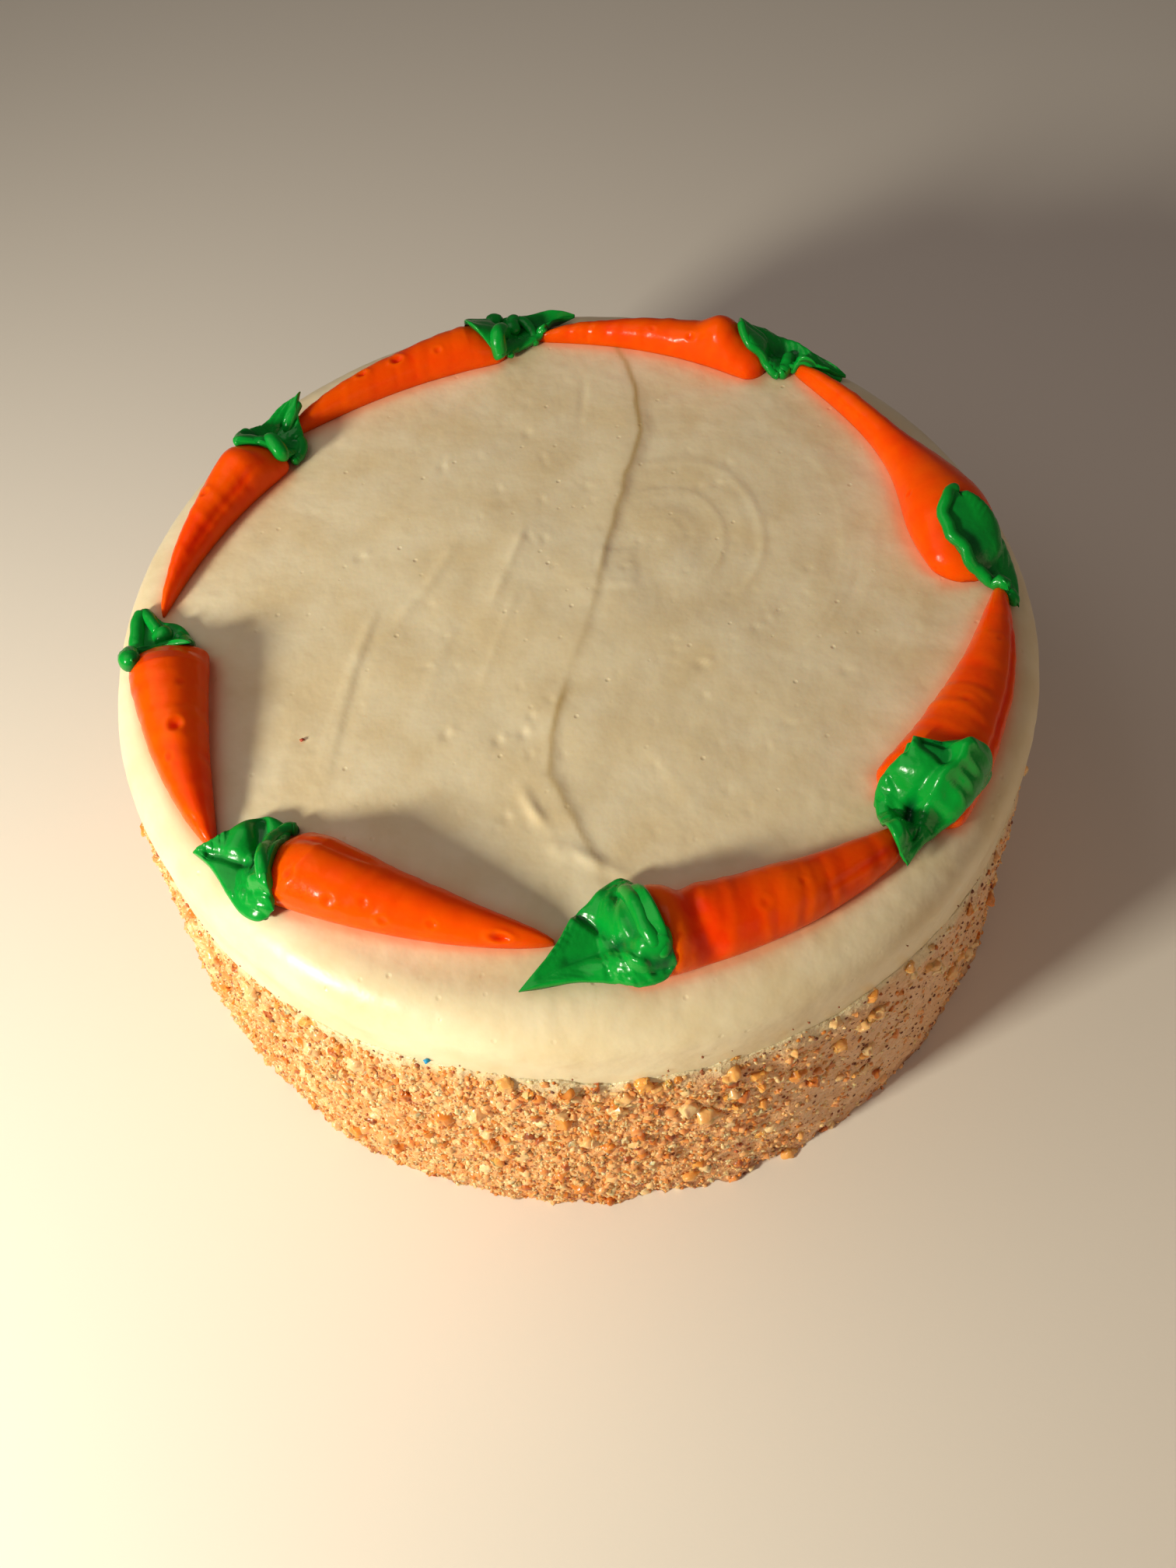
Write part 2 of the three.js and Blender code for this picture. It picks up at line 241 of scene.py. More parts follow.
# ---- the icing ----
SEAM_LINE = [                            # the left sweep ends here, in a step down to the right
    (1.0, -69.0), (-7.7, -46.6), (-6.7, -36.4), (-4.7, -28.4), (-1.8, -17.7), (2.5, -8.0), (6.1, 5.2),
    (9.0, 17.4), (12.6, 30.0), (16.7, 43.1), (20.3, 55.2), (20.2, 72.1), (18.7, 82.0), (16.8, 89.0),
]
SEAM_HEIGHT = [                          # this and the next two: a place along y, the value there
    (-70, 0.45), (-55, 0.5), (-38, 0.4), (-27, 0.3), (-20, 0.1), (-6, 0.2), (10, 0.4), (30, 0.5),
    (58, 0.95), (72, 0.95), (90, 0.8),
]
SEAM_RISE = 8.0                          # the step swells up over this length on its left
# how strongly the painted shade of the seam's step shows, along y
SEAM_SHADE = [
    (-75, 0.0), (-66, 0.5), (-38, 0.6), (-27, 0.8), (-20, 0.1), (-6, 0.2), (10, 0.5), (40, 0.7),
    (58, 0.9), (72, 0.9), (88, 0.6), (98, 0.0),
]
SEAM_DROP = [
    (-70, 1.5), (-45, 1.9), (-25, 1.3), (10, 1.2), (40, 1.8), (58, 3.2), (72, 2.4), (90, 1.6),
]
RELIEF_RADIUS = 80.0                     # the marks on the top have faded away at this radius
WAVE = {"height": 0.35, "length": (17.0, 21.0)}
DAB = {"low": (7.6, 4.5), "high": (15.2, 16.2), "height": 0.22}
SWEEP_CENTRE = (21.0, 18.0)              # the turntable marks on the right run round this
SWEEP_STRETCH = {"turn": 50.0, "reach": 32.0, "by": 5.0, "at": 50.0}
SWEEP_START = (-62, -30)                 # the marks fade in between these turns
SWEEP_END = (112, 150)                   # and out between these
SWEEP_ARCS = [                           # radius, height and width of each mark
    (6.5, 0.06, 0.8), (9.5, 0.05, 0.9), (14.6, 0.12, 0.6), (16.2, 0.30, 0.6), (18.4, -0.06, 1.4),
    (21.5, 0.06, 1.0), (25.4, 0.20, 0.9), (28.0, -0.06, 1.5), (33.0, 0.05, 1.2), (38.5, 0.05, 1.0),
    (42.0, -0.04, 1.4), (45.0, 0.27, 0.7), (46.9, 0.18, 0.7), (49.0, -0.06, 1.2), (52.0, 0.15, 0.9),
    (56.0, -0.04, 1.5), (59.0, 0.08, 0.9), (64.0, 0.24, 0.8), (66.5, -0.04, 1.4),
]
STREAKS = [                              # points of each spatula mark, its height and width
    ([(-45.4, 4.0), (-46.2, 1.3), (-50.3, -12.9), (-53.2, -26.5), (-55.6, -40.9),
      (-55.8, -50.4)], 0.34, 0.8),
    ([(-47.4, 2.0), (-48.1, -1.1), (-51.8, -14.3), (-55.4, -29.1), (-57.5, -43.2),
      (-57.9, -51.0)], 0.24, 0.8),
    ([(-44.0, 0.0), (-48.3, -13.0), (-51.2, -27.0), (-53.6, -41.0)], -0.16, 1.5),
    ([(-26.5, 23.0), (-28.3, 19.5), (-33.8, 9.3), (-38.5, 2.8), (-43.0, -4.0)], 0.42, 1.5),
    ([(-9.8, 25.0), (-11.6, 21.0), (-17.5, 5.9), (-18.9, 1.5)], 0.36, 1.1),
    ([(-12.6, 6.0), (-15.4, -1.8), (-22.7, -24.1)], 0.18, 0.9),
    ([(-15.0, 24.0), (-21.0, 10.0), (-25.0, 0.0), (-30.0, -16.0)], -0.24, 3.0),
    ([(-24.0, 6.0), (-31.0, -12.0), (-36.0, -30.0)], 0.12, 1.6),
    ([(9.7, 88.9), (7.9, 74.7), (5.4, 58.6)], -0.42, 1.1),
    ([(5.6, 95.0), (10.4, 88.2), (14.5, 82.0)], 0.3, 1.0),
    ([(-13.8, -49.0), (-11.4, -55.2), (-8.6, -60.0)], 0.95, 1.3),
    ([(-6.0, -63.5), (0.0, -68.4), (6.5, -72.4), (11.0, -73.8)], 1.0, 1.5),
    ([(-9.0, -62.5), (-6.0, -66.5), (-4.0, -68.0)], 0.5, 1.6),
    ([(30.0, -47.0), (36.0, -58.0), (41.0, -63.0)], 0.14, 1.5),
    ([(12.0, -38.0), (20.0, -52.0), (25.0, -62.0)], 0.12, 1.6),
]
BIG_PITS = [
    (-18.4, -36.7), (-12.9, -35.2), (-29.8, -34.0), (-17.4, -56.2), (-43.5, -59.9), (-62.4, 35.3),
    (-61.4, -32.7), (28.0, -20.0), (45.0, -38.0), (60.0, -25.0), (38.0, 35.0), (-8.0, 58.0),
    (-30.0, 48.0), (-50.0, 20.0),
]
BIG_PIT_SHAPE = (1.2, 0.3)               # reach and depth
PIT_COUNT = 190                          # with the big ones
PIT_FIELD = 88.0                         # half the side of the square in which pits are drawn
PIT_LIMIT = 90.0                         # no pit lies further out than this
PIT_REACH = (0.6, 1.0)
PIT_DEPTH = (0.06, 0.2)
SHOULDER_STEPS = 16
SIDE_STEP = 1.0                          # height of a row of faces on the side
SIDE_SHOWN = 56.0                        # the coat hides the side below this height
SIDE_PLAIN = 50.0                        # and it is left plain below this one
RED_SPECK = (-61.4, -32.7)
BLUE_FLECK = (-109.6, 70.5, 0.9)         # degrees round the cake, height and size
SMEAR_SPECKS = 26
SMEAR_SPREAD = 1.6                       # mean height of a speck of skin over the coat's edge
SMEAR_SIZE = (0.15, 0.4)


def icing_height(x, y, icing):
    """Height of the icing over a point of the plan: the flat top, then the round shoulder."""
    past = np.clip(np.hypot(x, y) - (icing.radius - icing.shoulder), 0, icing.shoulder)
    return icing.height - icing.shoulder + np.sqrt(icing.shoulder ** 2 - past ** 2)


def along_path(x, y, path):
    """Distance from a smooth line through the path's points, and the share of it passed."""
    path = np.array(path, float)
    best = np.full(x.shape, 1e9)
    share = np.zeros(x.shape)
    for k in range(len(path) - 1):
        a, run = path[k], path[k + 1] - path[k]
        t = np.clip(((x - a[0]) * run[0] + (y - a[1]) * run[1]) / max(run @ run, 1e-9), 0, 1)
        gap = np.hypot(x - a[0] - t * run[0], y - a[1] - t * run[1])
        share = np.where(gap < best, (k + t) / (len(path) - 1), share)
        best = np.minimum(best, gap)
    return best, share


def at_y(y, table):
    """Value at y of a table of (y, value)."""
    places, values = zip(*table)
    return np.interp(y, places, values)


def seam_gap(x, y):
    """Distance to the right of the seam, which wanders a little."""
    return x - at_y(y, [(b, a) for a, b in SEAM_LINE]) + 0.5 * lumpy(np.stack([x, y], 1), 5, 3)


def top_relief(x, y):
    """What the spatula left on the top: a seam, turntable rings, streaks, pits and lumps."""
    plan = np.stack([x, y], 1)
    away = np.hypot(x, y)
    off = seam_gap(x, y)
    drop = at_y(y, SEAM_DROP)
    height = at_y(y, SEAM_HEIGHT) * np.where(off < 0, bell(off, SEAM_RISE), bell(off, drop))
    height += WAVE["height"] * (np.sin(x / WAVE["length"][0] + 1) * np.sin(y / WAVE["length"][1] + 2) - 1)
    inside = [smooth_step(value, low - 1.4, low + 1.2) * (1 - smooth_step(value, high - 1.2, high + 1.4))
              for value, low, high in zip((x + 0.7 * lumpy(plan, 4, 6), y + 0.7 * lumpy(plan, 4, 7)),
                                          DAB["low"], DAB["high"])]
    height += DAB["height"] * inside[0] * inside[1]
    right = smooth_step(off, 0.5, 6)
    dx, dy = x - SWEEP_CENTRE[0], y - SWEEP_CENTRE[1]
    angle = np.degrees(np.arctan2(dy, dx))
    ring = np.hypot(dx, dy) + 0.4 * lumpy(plan, 16, 5)
    stretched = bell(angle - SWEEP_STRETCH["turn"], SWEEP_STRETCH["reach"])
    ring -= SWEEP_STRETCH["by"] * stretched * ring / SWEEP_STRETCH["at"]
    swept = smooth_step(angle, *SWEEP_START) * (1 - smooth_step(angle, *SWEEP_END)) * right
    for radius, rise, width in SWEEP_ARCS:
        patchy = 0.75 + 0.35 * lumpy(plan, 15, int(radius * 2))
        height += rise * bell(ring - radius, width) * swept * patchy
    for path, rise, width in STREAKS:
        gap, share = along_path(x, y, path)
        taper = smooth_step(share, -0.02, 0.3) * (1 - smooth_step(share, 0.65, 1.02))
        height += rise * bell(gap, width) * (0.15 + 0.85 * taper) * (0.8 + 0.3 * lumpy(plan, 4, 8))
    slanted = np.stack([x * 0.8 - y * 0.6, (x * 0.6 + y * 0.8) * 0.45], 1)
    height += 0.24 * lumpy(plan, 12, 11) + 0.13 * lumpy(slanted, 5.5, 12)
    rough = 0.35 + 0.65 * smooth_step(x - y, 10, 90)
    height += rough * (0.045 * lumpy(plan, 3.0, 13) + 0.018 * lumpy(slanted, 1.6, 14))
    rng = np.random.default_rng(31)
    spots = [(*spot, *BIG_PIT_SHAPE) for spot in BIG_PITS]
    while len(spots) < PIT_COUNT:
        px, py = rng.uniform(-PIT_FIELD, PIT_FIELD, 2)
        if math.hypot(px, py) < PIT_LIMIT:
            spots.append((px, py, rng.uniform(*PIT_REACH), rng.uniform(*PIT_DEPTH)))
    for px, py, reach, depth in spots:
        near = (abs(x - px) < 4 * reach) & (abs(y - py) < 4 * reach)
        dx, dy = x[near] - px, y[near] - py
        pit = bell(np.hypot(dx, dy * 0.8), reach)
        rim = bell(np.hypot(dx - 1.1 * reach, dy - 0.8 * reach), reach * 0.8)
        height[near] += depth * (0.6 * rim - pit)
    return height * (1 - np.clip(away / RELIEF_RADIUS, 0, 1) ** 4) + relief_outside(plan, away)


def relief_outside(plan, away):
    """Outside the ring of carrots only lumps are left."""
    return smooth_step(away, 55, 85) * (0.10 * lumpy(plan, 7, 21) + 0.05 * lumpy(plan, 2.2, 22))


def square_to_disc(cells):
    """Unit disc from a square grid, so that its cells stay even; returns x and y."""
    u = np.linspace(-1, 1, cells + 1)
    a, b = (v.ravel() for v in np.meshgrid(u, u, indexing="ij"))
    wide = abs(a) > abs(b)
    with np.errstate(divide="ignore", invalid="ignore"):
        turn = np.where(wide, math.pi / 4 * b / a, math.pi / 2 - math.pi / 4 * a / b)
    radius = np.where(wide, a, b)
    turn = np.where(radius == 0, 0, turn)
    return radius * np.cos(turn), radius * np.sin(turn)


def square_rim(cells):
    """Numbers of the grid's edge points, anticlockwise."""
    n = cells + 1
    low, high = np.arange(cells), np.arange(cells, 0, -1)
    return np.concatenate([low * n, cells * n + low, high * n + cells, high])


def carrot_stain(x, y):
    """How much orange the icing has drawn: 1 beside a carrot, gone a few millimetres away."""
    stain = np.zeros(x.shape)
    turn = np.degrees(np.arctan2(y, x))
    for carrot in CARROTS:
        for lap in (-360, 0, 360):
            t = (turn + lap - carrot["head"]) / (carrot["tip"] - carrot["head"])
            beyond = np.maximum(np.abs(t - 0.5) - 0.5, 0) * 65
            inside = np.clip(t, 0.02, 0.98)
            gap = abs(np.hypot(x, y) - bead_path(carrot, inside)) - bead_half(carrot, inside)
            outside = np.hypot(x, y) > bead_path(carrot, inside)
            reach = np.where(outside, 1.3, 2.3)
            stain = np.maximum(stain, bell(np.hypot(np.maximum(gap, 0), beyond), reach))
    return stain


def side_relief(x, y, z, icing):
    """The side is swept round by hand: broad facets, faint level lines and small lumps."""
    around = np.stack([x, y, z * 2.5], 1)
    fine = np.stack([x, y, z], 1)
    fade = smooth_step(icing.height - z, 0.5, 8)
    broad = 0.35 * lumpy(around, 26, 41) + 0.16 * lumpy(around, 10, 42)
    return fade * broad + 0.07 * lumpy(fine, 2.6, 43) + 0.03 * lumpy(fine, 1.4, 44)


def icing_mesh(icing, coat):
    """The top with its marks, the round shoulder and the swept side, closed underneath."""
    cells = icing.cells
    x, y = square_to_disc(cells)
    inner = icing.radius - icing.shoulder
    x, y = x * inner, y * inner
    top = np.stack([x, y, icing.height + top_relief(x, y)], 1)
    faces = []
    n = cells + 1
    i, j = np.meshgrid(np.arange(cells), np.arange(cells), indexing="ij")
    a = (i * n + j).ravel()
    faces.append(np.stack([a, a + n, a + n + 1, a + 1], 1))
    rim = square_rim(cells)
    unit = top[rim, :2] / inner
    unit /= np.hypot(unit[:, 0], unit[:, 1])[:, None]
    profile = [(inner + icing.shoulder * math.sin(t), icing.height - icing.shoulder * (1 - math.cos(t)))
               for t in np.linspace(0, math.pi / 2, SHOULDER_STEPS + 1)[1:]]
    side_top = icing.height - icing.shoulder
    profile += [(icing.radius, z) for z in np.arange(side_top - SIDE_STEP, SIDE_SHOWN, -SIDE_STEP)]
    # the rest is behind the coat
    profile += [(icing.radius, coat.height - 14), (icing.foot_radius - 1, 12), (icing.foot_radius - 1, 0)]
    rings = []
    for r, z in profile:
        ring = np.concatenate([unit * r, np.full((len(unit), 1), z)], 1)
        sway = side_relief(ring[:, 0], ring[:, 1], ring[:, 2], icing) if z > SIDE_PLAIN else 0
        edge = smooth_step(z, icing.height - icing.shoulder, icing.height)
        lift = relief_outside(ring[:, :2], np.full(len(ring), r)) if z > side_top else 0
        ring[:, :2] += unit * (sway * (1 - 0.7 * edge) * np.ones(len(unit)))[:, None]
        ring[:, 2] += lift * edge
        rings.append(ring)
    wall = np.concatenate(rings)
    start = len(top)
    around = len(rim)
    first = np.stack([rim, start + np.arange(around), start + (np.arange(around) + 1) % around,
                      np.roll(rim, -1)], 1)
    faces += [first, ring_wall(len(rings), around, start)[:, ::-1]]
    points = np.concatenate([top, wall, [[0, 0, 0]]])
    last = start + (len(rings) - 1) * around
    turn = np.arange(around)
    fan = np.stack([last + (turn + 1) % around, last + turn, np.full(around, len(points) - 1)], 1)
    every_face = [*np.concatenate(faces), *fan]
    stain = carrot_stain(points[:, 0], points[:, 1]) * smooth_step(points[:, 2], 70, 80)
    # painted shade in a thin band on the seam's step down
    seam = bell(seam_gap(points[:, 0], points[:, 1]) - 0.3, 0.8) * at_y(points[:, 1], SEAM_SHADE)
    return points, every_face, {"stain": stain, "seam": seam * smooth_step(points[:, 2], 75, 82)}


# ---- the walnut coat ----
EDGE_WAVES = [(3, 1.0, 0.6), (7, 0.7, 2.0), (13, 0.5, 0.0)]   # count, size and start
EDGE_HEAP = {"turn": math.radians(-70), "reach": 0.38, "by": 5.0}   # the coat is heaped higher here
COAT_COLUMNS, COAT_ROWS = 840, 84
COAT_MEAN = 110.0                        # mean radius, at which the coat's lumps are laid out
COAT_LAP = (1.2, 1.5)                    # the inner face is this far inside the icing's two radii
STREW_RADIUS = 111.0                     # at which the area of the coat is reckoned
COARSE_TURN = math.radians(-128)         # the coat is coarsest on this side
LUMP_HEAPS = [                           # degrees round the cake and height of each heap of lumps
    (-119, 57), (-121, 46), (-97, 66), (-87, 67), (-84, 64), (-80, 66), (-77, 68), (-70, 66), (-66, 64),
    (-76, 46), (-71, 43), (-67, 36), (-57, 28), (-60, 60), (-110, 40), (-130, 52), (-104, 30), (-92, 38),
]


def coat_edge(turn, coat):
    waves = sum(size * np.sin(number * turn + start) for number, size, start in EDGE_WAVES)
    heap = EDGE_HEAP["by"] * bell(turn - EDGE_HEAP["turn"], EDGE_HEAP["reach"])
    return coat.height + coat.edge_rise * waves + heap


def coarse_share(turn):
    """1 where the coat is a heap of golden crumbs, 0 where it is fine and pasty."""
    return smooth_step(np.cos(turn - COARSE_TURN), 0.40, 0.80)


def coat_mesh(coat, icing):
    """A closed ring of bound meal with an uneven outer face."""
    turn = np.linspace(0, 2 * math.pi, COAT_COLUMNS, endpoint=False)
    ragged = 0.9 * lumpy(np.stack([np.cos(turn), np.sin(turn)], 1) * COAT_MEAN, 5, 51)
    edge = coat_edge(turn, coat) + ragged
    rings, cream = [], []
    inside = icing.radius - COAT_LAP[0]
    for r, z in ((inside, edge - 0.4), (icing.foot_radius - COAT_LAP[1], np.zeros(COAT_COLUMNS))):
        rings.append(np.stack([r * np.cos(turn), r * np.sin(turn), z], 1))
        cream.append(np.ones(COAT_COLUMNS))
    coarseness = 0.6 + 0.4 * coarse_share(turn)
    for row in range(COAT_ROWS + 1):
        share = row / COAT_ROWS
        z = edge * share
        upper = icing.radius + coat.thickness
        r = upper + (coat.foot_radius - icing.radius - coat.thickness) * (1 - share) ** 1.2
        place = np.stack([COAT_MEAN * np.cos(turn), COAT_MEAN * np.sin(turn), z], 1)
        rough = 0.45 * lumpy(place, 7, 52)
        rough += (0.7 * lumpy(place, 2.9, 53) + 0.6 * lumpy(place, 1.8, 54)) * coarseness
        rough += 0.9 * lumpy(place, 9, 57) * (1 - smooth_step(z, 3, 14))
        thin = smooth_step(edge - z, -0.5, 6)
        buried = icing.radius - 0.5
        r = buried + (r - icing.radius + 0.5) * (0.28 + 0.72 * thin) + rough * (0.35 + 0.65 * thin)
        r = np.minimum(r, coat.limit - 0.4)
        rings.append(np.stack([r * np.cos(turn), r * np.sin(turn), z], 1))
        cream.append(1 - smooth_step(edge - z + 2.2 * lumpy(place, 4, 55), 0.5, 5.5))
    points = np.concatenate(rings)
    faces = ring_wall(len(rings), COAT_COLUMNS)
    j = np.arange(COAT_COLUMNS)
    k = (j + 1) % COAT_COLUMNS
    last = (len(rings) - 1) * COAT_COLUMNS
    closing = np.stack([last + j, last + k, k, j], 1)
    turns = np.arctan2(points[:, 1], points[:, 0])
    coarse = coarse_share(turns + 0.12 * lumpy(points, 9, 56))
    cream = np.concatenate(cream)
    outer = np.concatenate([np.zeros(2 * COAT_COLUMNS), np.ones(len(points) - 2 * COAT_COLUMNS)])
    cover = outer * (1 - 0.75 * cream)
    return points, np.concatenate([faces, closing]), {
        "coarse": coarse, "cream": cream, "outer": outer, "cover": cover,
        "foot": 1 - smooth_step(points[:, 2], 1, 9)}


def scatter_tree(name, subdivisions):
    """Geometry nodes that strew bits of nut over a bed: each is a rough ball of its own
    size, flatness and turn, knocked out of shape after it is made real."""
    tree = bpy.data.node_groups.new(name, "GeometryNodeTree")
    sockets = {}
    for label, kind, default in (
            ("Bed", "Geometry", None), ("Density", "Float", 1.0), ("Smallest", "Float", 0.0005),
            ("Largest", "Float", 0.001), ("Flatness", "Float", 0.7), ("Rise", "Float", 0.0),
            ("Knock", "Float", 0.0003), ("Knock Scale", "Float", 900.0), ("Choice", "String", ""),
            ("Seed", "Int", 1), ("Lie Flat", "Bool", False), ("Material", "Material", None)):
        socket = tree.interface.new_socket(name=label, in_out="INPUT", socket_type=f"NodeSocket{kind}")
        if default is not None:
            socket.default_value = default
        sockets[label] = socket.identifier
    tree.interface.new_socket(name="Crumbs", in_out="OUTPUT", socket_type="NodeSocketGeometry")
    add = partial(add_node, tree)
    given = add("NodeGroupInput").outputs
    chance = add("GeometryNodeInputNamedAttribute", {"Name": given["Choice"]}, data_type="FLOAT")
    density = add("ShaderNodeMath", {0: given["Density"], 1: chance.outputs["Attribute"]},
                  operation="MULTIPLY")
    spots = add("GeometryNodeDistributePointsOnFaces", {
        "Mesh": given["Bed"], "Density": density.outputs[0], "Seed": given["Seed"]})
    # a power of 1.8 makes small bits commoner than large ones
    size = add("FunctionNodeRandomValue", {2: 0.0, 3: 1.0, "Seed": given["Seed"]}, data_type="FLOAT")
    size = add("ShaderNodeMath", {0: size.outputs[1], 1: 1.8}, operation="POWER")
    size = add("ShaderNodeMapRange", {
        "Value": size.outputs[0], "To Min": given["Smallest"], "To Max": given["Largest"]})
    rise = add("ShaderNodeMath", {0: size.outputs[0], 1: given["Rise"]}, operation="MULTIPLY")
    outward = add("ShaderNodeVectorMath", {0: spots.outputs["Normal"], "Scale": rise.outputs[0]},
                  operation="SCALE")
    pressed = add("GeometryNodeSetPosition", {
        "Geometry": spots.outputs["Points"], "Offset": outward.outputs[0]})
    turn = add("FunctionNodeRandomValue", {
        0: (0.0, 0.0, 0.0), 1: (6.283, 6.283, 6.283), "Seed": given["Seed"]}, data_type="FLOAT_VECTOR")
    tumbled = add("FunctionNodeEulerToRotation", {0: turn.outputs[0]})
    turn = add("GeometryNodeSwitch", {
        "Switch": given["Lie Flat"], "False": tumbled.outputs[0], "True": spots.outputs["Rotation"]},
        input_type="ROTATION")
    # each of these has a seed of its own, so that a bit's shape and tone don't go together
    flat = add("FunctionNodeRandomValue", {2: given["Flatness"], 3: 1.0, "Seed": 5}, data_type="FLOAT")
    slim = add("FunctionNodeRandomValue", {2: 0.5, 3: 1.0, "Seed": 9}, data_type="FLOAT")
    tone = add("FunctionNodeRandomValue", {2: 0.0, 3: 1.0, "Seed": 17}, data_type="FLOAT")
    shape = add("ShaderNodeCombineXYZ", {0: 1.0, 1: slim.outputs[1], 2: flat.outputs[1]})
    scale = add("ShaderNodeVectorMath", {0: shape.outputs[0], "Scale": size.outputs[0]},
                operation="SCALE")
    ball = add("GeometryNodeMeshIcoSphere", {"Radius": 1.0, "Subdivisions": subdivisions})
    placed = add("GeometryNodeInstanceOnPoints", {
        "Points": pressed.outputs[0], "Instance": ball.outputs[0], "Rotation": turn.outputs[0],
        "Scale": scale.outputs[0]})
    toned = add("GeometryNodeStoreNamedAttribute", {
        "Geometry": placed.outputs[0], "Name": "tone", "Value": tone.outputs[1]},
        data_type="FLOAT", domain="INSTANCE")
    real = add("GeometryNodeRealizeInstances", {"Geometry": toned.outputs[0]})
    noise = add("ShaderNodeTexNoise", {"Scale": given["Knock Scale"], "Detail": 1.0})
    centred = add("ShaderNodeVectorMath", {0: noise.outputs["Color"], 1: (0.5, 0.5, 0.5)},
                  operation="SUBTRACT")
    knock = add("ShaderNodeVectorMath", {0: centred.outputs[0], "Scale": given["Knock"]},
                operation="SCALE")
    moved = add("GeometryNodeSetPosition", {"Geometry": real.outputs[0], "Offset": knock.outputs[0]})
    shaded = add("GeometryNodeSetShadeSmooth", {"Geometry": moved.outputs[0], "Shade Smooth": True})
    dressed = add("GeometryNodeSetMaterial", {
        "Geometry": shaded.outputs[0], "Material": given["Material"]})
    add("NodeGroupOutput", {0: dressed.outputs[0]})
    return tree, sockets


def strew(name, bed, scatter, coat, values):
    """Runs a scatter tree over the bed and keeps its result as a plain mesh."""
    tree, sockets = scatter
    thing = bpy.data.objects.new(name, bed.data.copy())
    bpy.context.scene.collection.objects.link(thing)
    modifier = thing.modifiers.new("Strew", "NODES")
    modifier.node_group = tree
    for label, value in values.items():
        modifier[sockets[label]] = value
    depsgraph = bpy.context.evaluated_depsgraph_get()
    mesh = bpy.data.meshes.new_from_object(thing.evaluated_get(depsgraph), depsgraph=depsgraph,
                                           preserve_all_data_layers=True)
    thing.modifiers.remove(modifier)
    old, thing.data = thing.data, mesh
    bpy.data.meshes.remove(old)
    if len(mesh.polygons) == 0:
        raise RuntimeError(f"{name} came out empty")
    keep_within(mesh, coat)
    mesh.name = name
    return thing


def keep_within(mesh, coat):
    """Presses any bit that would stick out too far back onto the coat or the plate."""
    points = np.zeros(len(mesh.vertices) * 3, np.float32)
    mesh.vertices.foreach_get("co", points)
    points = points.reshape(-1, 3)
    away = np.hypot(points[:, 0], points[:, 1])
    points[:, :2] *= np.minimum(1, coat.limit * MM / away)[:, None]
    points[:, 2] = np.maximum(points[:, 2], 0.0)
    mesh.vertices.foreach_set("co", points.ravel())
    mesh.update()


# ---- the carrots ----
# One row for each carrot, anticlockwise from the left front: angles of head and tip in
# degrees, radius of the centre line at head, middle and tip, half width of the head,
# taper power, where it is widest, and how strongly the piping tip ringed it. Some have a
# neck, which keeps only that share of the width, a curl that stands up behind the head,
# a waist, or pits at (place along, turn over the back in degrees, reach, depth).
CARROTS = [
    {"head": -136.5, "tip": -95.5, "path": (91.3, 85.8, 87.0), "half": 9.0, "taper": 0.64,
     "widest": 0.12, "rings": 0.05, "creases": [((0.04, 118), (0.4, 128), 1.0, 0.5)],
     "pits": [(0.16, 60, 0.9, 0.3), (0.3, 40, 1.0, 0.25), (0.47, 30, 0.9, 0.3), (0.83, 40, 1.6, 0.8),
              (0.4, 55, 0.8, 0.2), (0.62, 45, 0.9, 0.25), (0.1, 20, 1.3, 0.6)]},
    {"head": -88.0, "tip": -46.0, "path": (88.0, 89.4, 94.5), "half": 9.2, "taper": 0.42,
     "widest": 0.1, "rings": 0.11, "waist": (0.245, 0.12),
     "creases": [((0.6, 50), (0.97, 60), 0.9, 0.4)],
     "pits": [(0.45, 70, 0.9, 0.25), (0.58, 80, 0.7, 0.2)]},
    {"head": -44.0, "tip": -3.2, "path": (91.5, 93.3, 98.0), "half": 10.3, "taper": 0.6,
     "widest": 0.1, "rings": 0.07, "creases": [((0.08, 30), (0.92, 42), 0.9, 0.8)],
     "pits": [(0.4, 100, 0.9, 0.2), (0.7, 80, 0.8, 0.2)]},
    {"head": -1.8, "tip": 49.0, "path": (92.0, 91.7, 96.0), "half": 9.8, "taper": 0.3,
     "widest": 0.2, "neck": 0.4, "rings": 0.05, "pits": [(0.3, 150, 0.8, 0.3), (0.7, 140, 0.7, 0.2)]},
    {"head": 53.0, "tip": 92.5, "path": (92.0, 92.2, 92.5), "half": 6.0, "taper": 0.6,
     "widest": 0.12, "curl": 3.5, "rings": 0.08, "pits": [(0.33, 130, 1.0, 0.4), (0.5, 120, 0.8, 0.2)]},
    {"head": 97.5, "tip": 138.5, "path": (91.5, 91.0, 93.5), "half": 6.0, "taper": 0.5,
     "widest": 0.12, "rings": 0.06,
     "pits": [(0.47, 100, 1.3, 0.9), (0.3, 120, 0.9, 0.4), (0.62, 90, 1.2, 0.7)]},
    {"head": 142.0, "tip": 177.0, "path": (91.5, 93.2, 96.0), "half": 7.0, "taper": 0.72,
     "widest": 0.12, "curl": 1.5, "rings": 0.05, "creases": [((0.1, 140), (0.8, 128), 0.9, 0.45)],
     "pits": [(0.42, 70, 1.0, 0.5)]},
    {"head": 184.0, "tip": 217.0, "path": (93.0, 93.5, 98.0), "half": 9.0, "taper": 0.6,
     "widest": 0.14, "rings": 0.09, "pits": [(0.5, 100, 1.4, 0.7), (0.3, 120, 0.8, 0.2),
                                             (0.62, 70, 0.9, 0.3)]},
]
NECK_REACH = 0.25
CURL_PLACE = 0.22
CURL_REACH = 0.07
HEAD_ROUND = 0.07
HEAD_SLOPE = 0.17
HEIGHT_POWER = 0.65      # thinner beads are relatively taller
WAIST_HEIGHT = 0.3       # share of the height at which a bead is widest
BEAD_SPAN = 25.4         # degrees by which the round back passes below its widest line
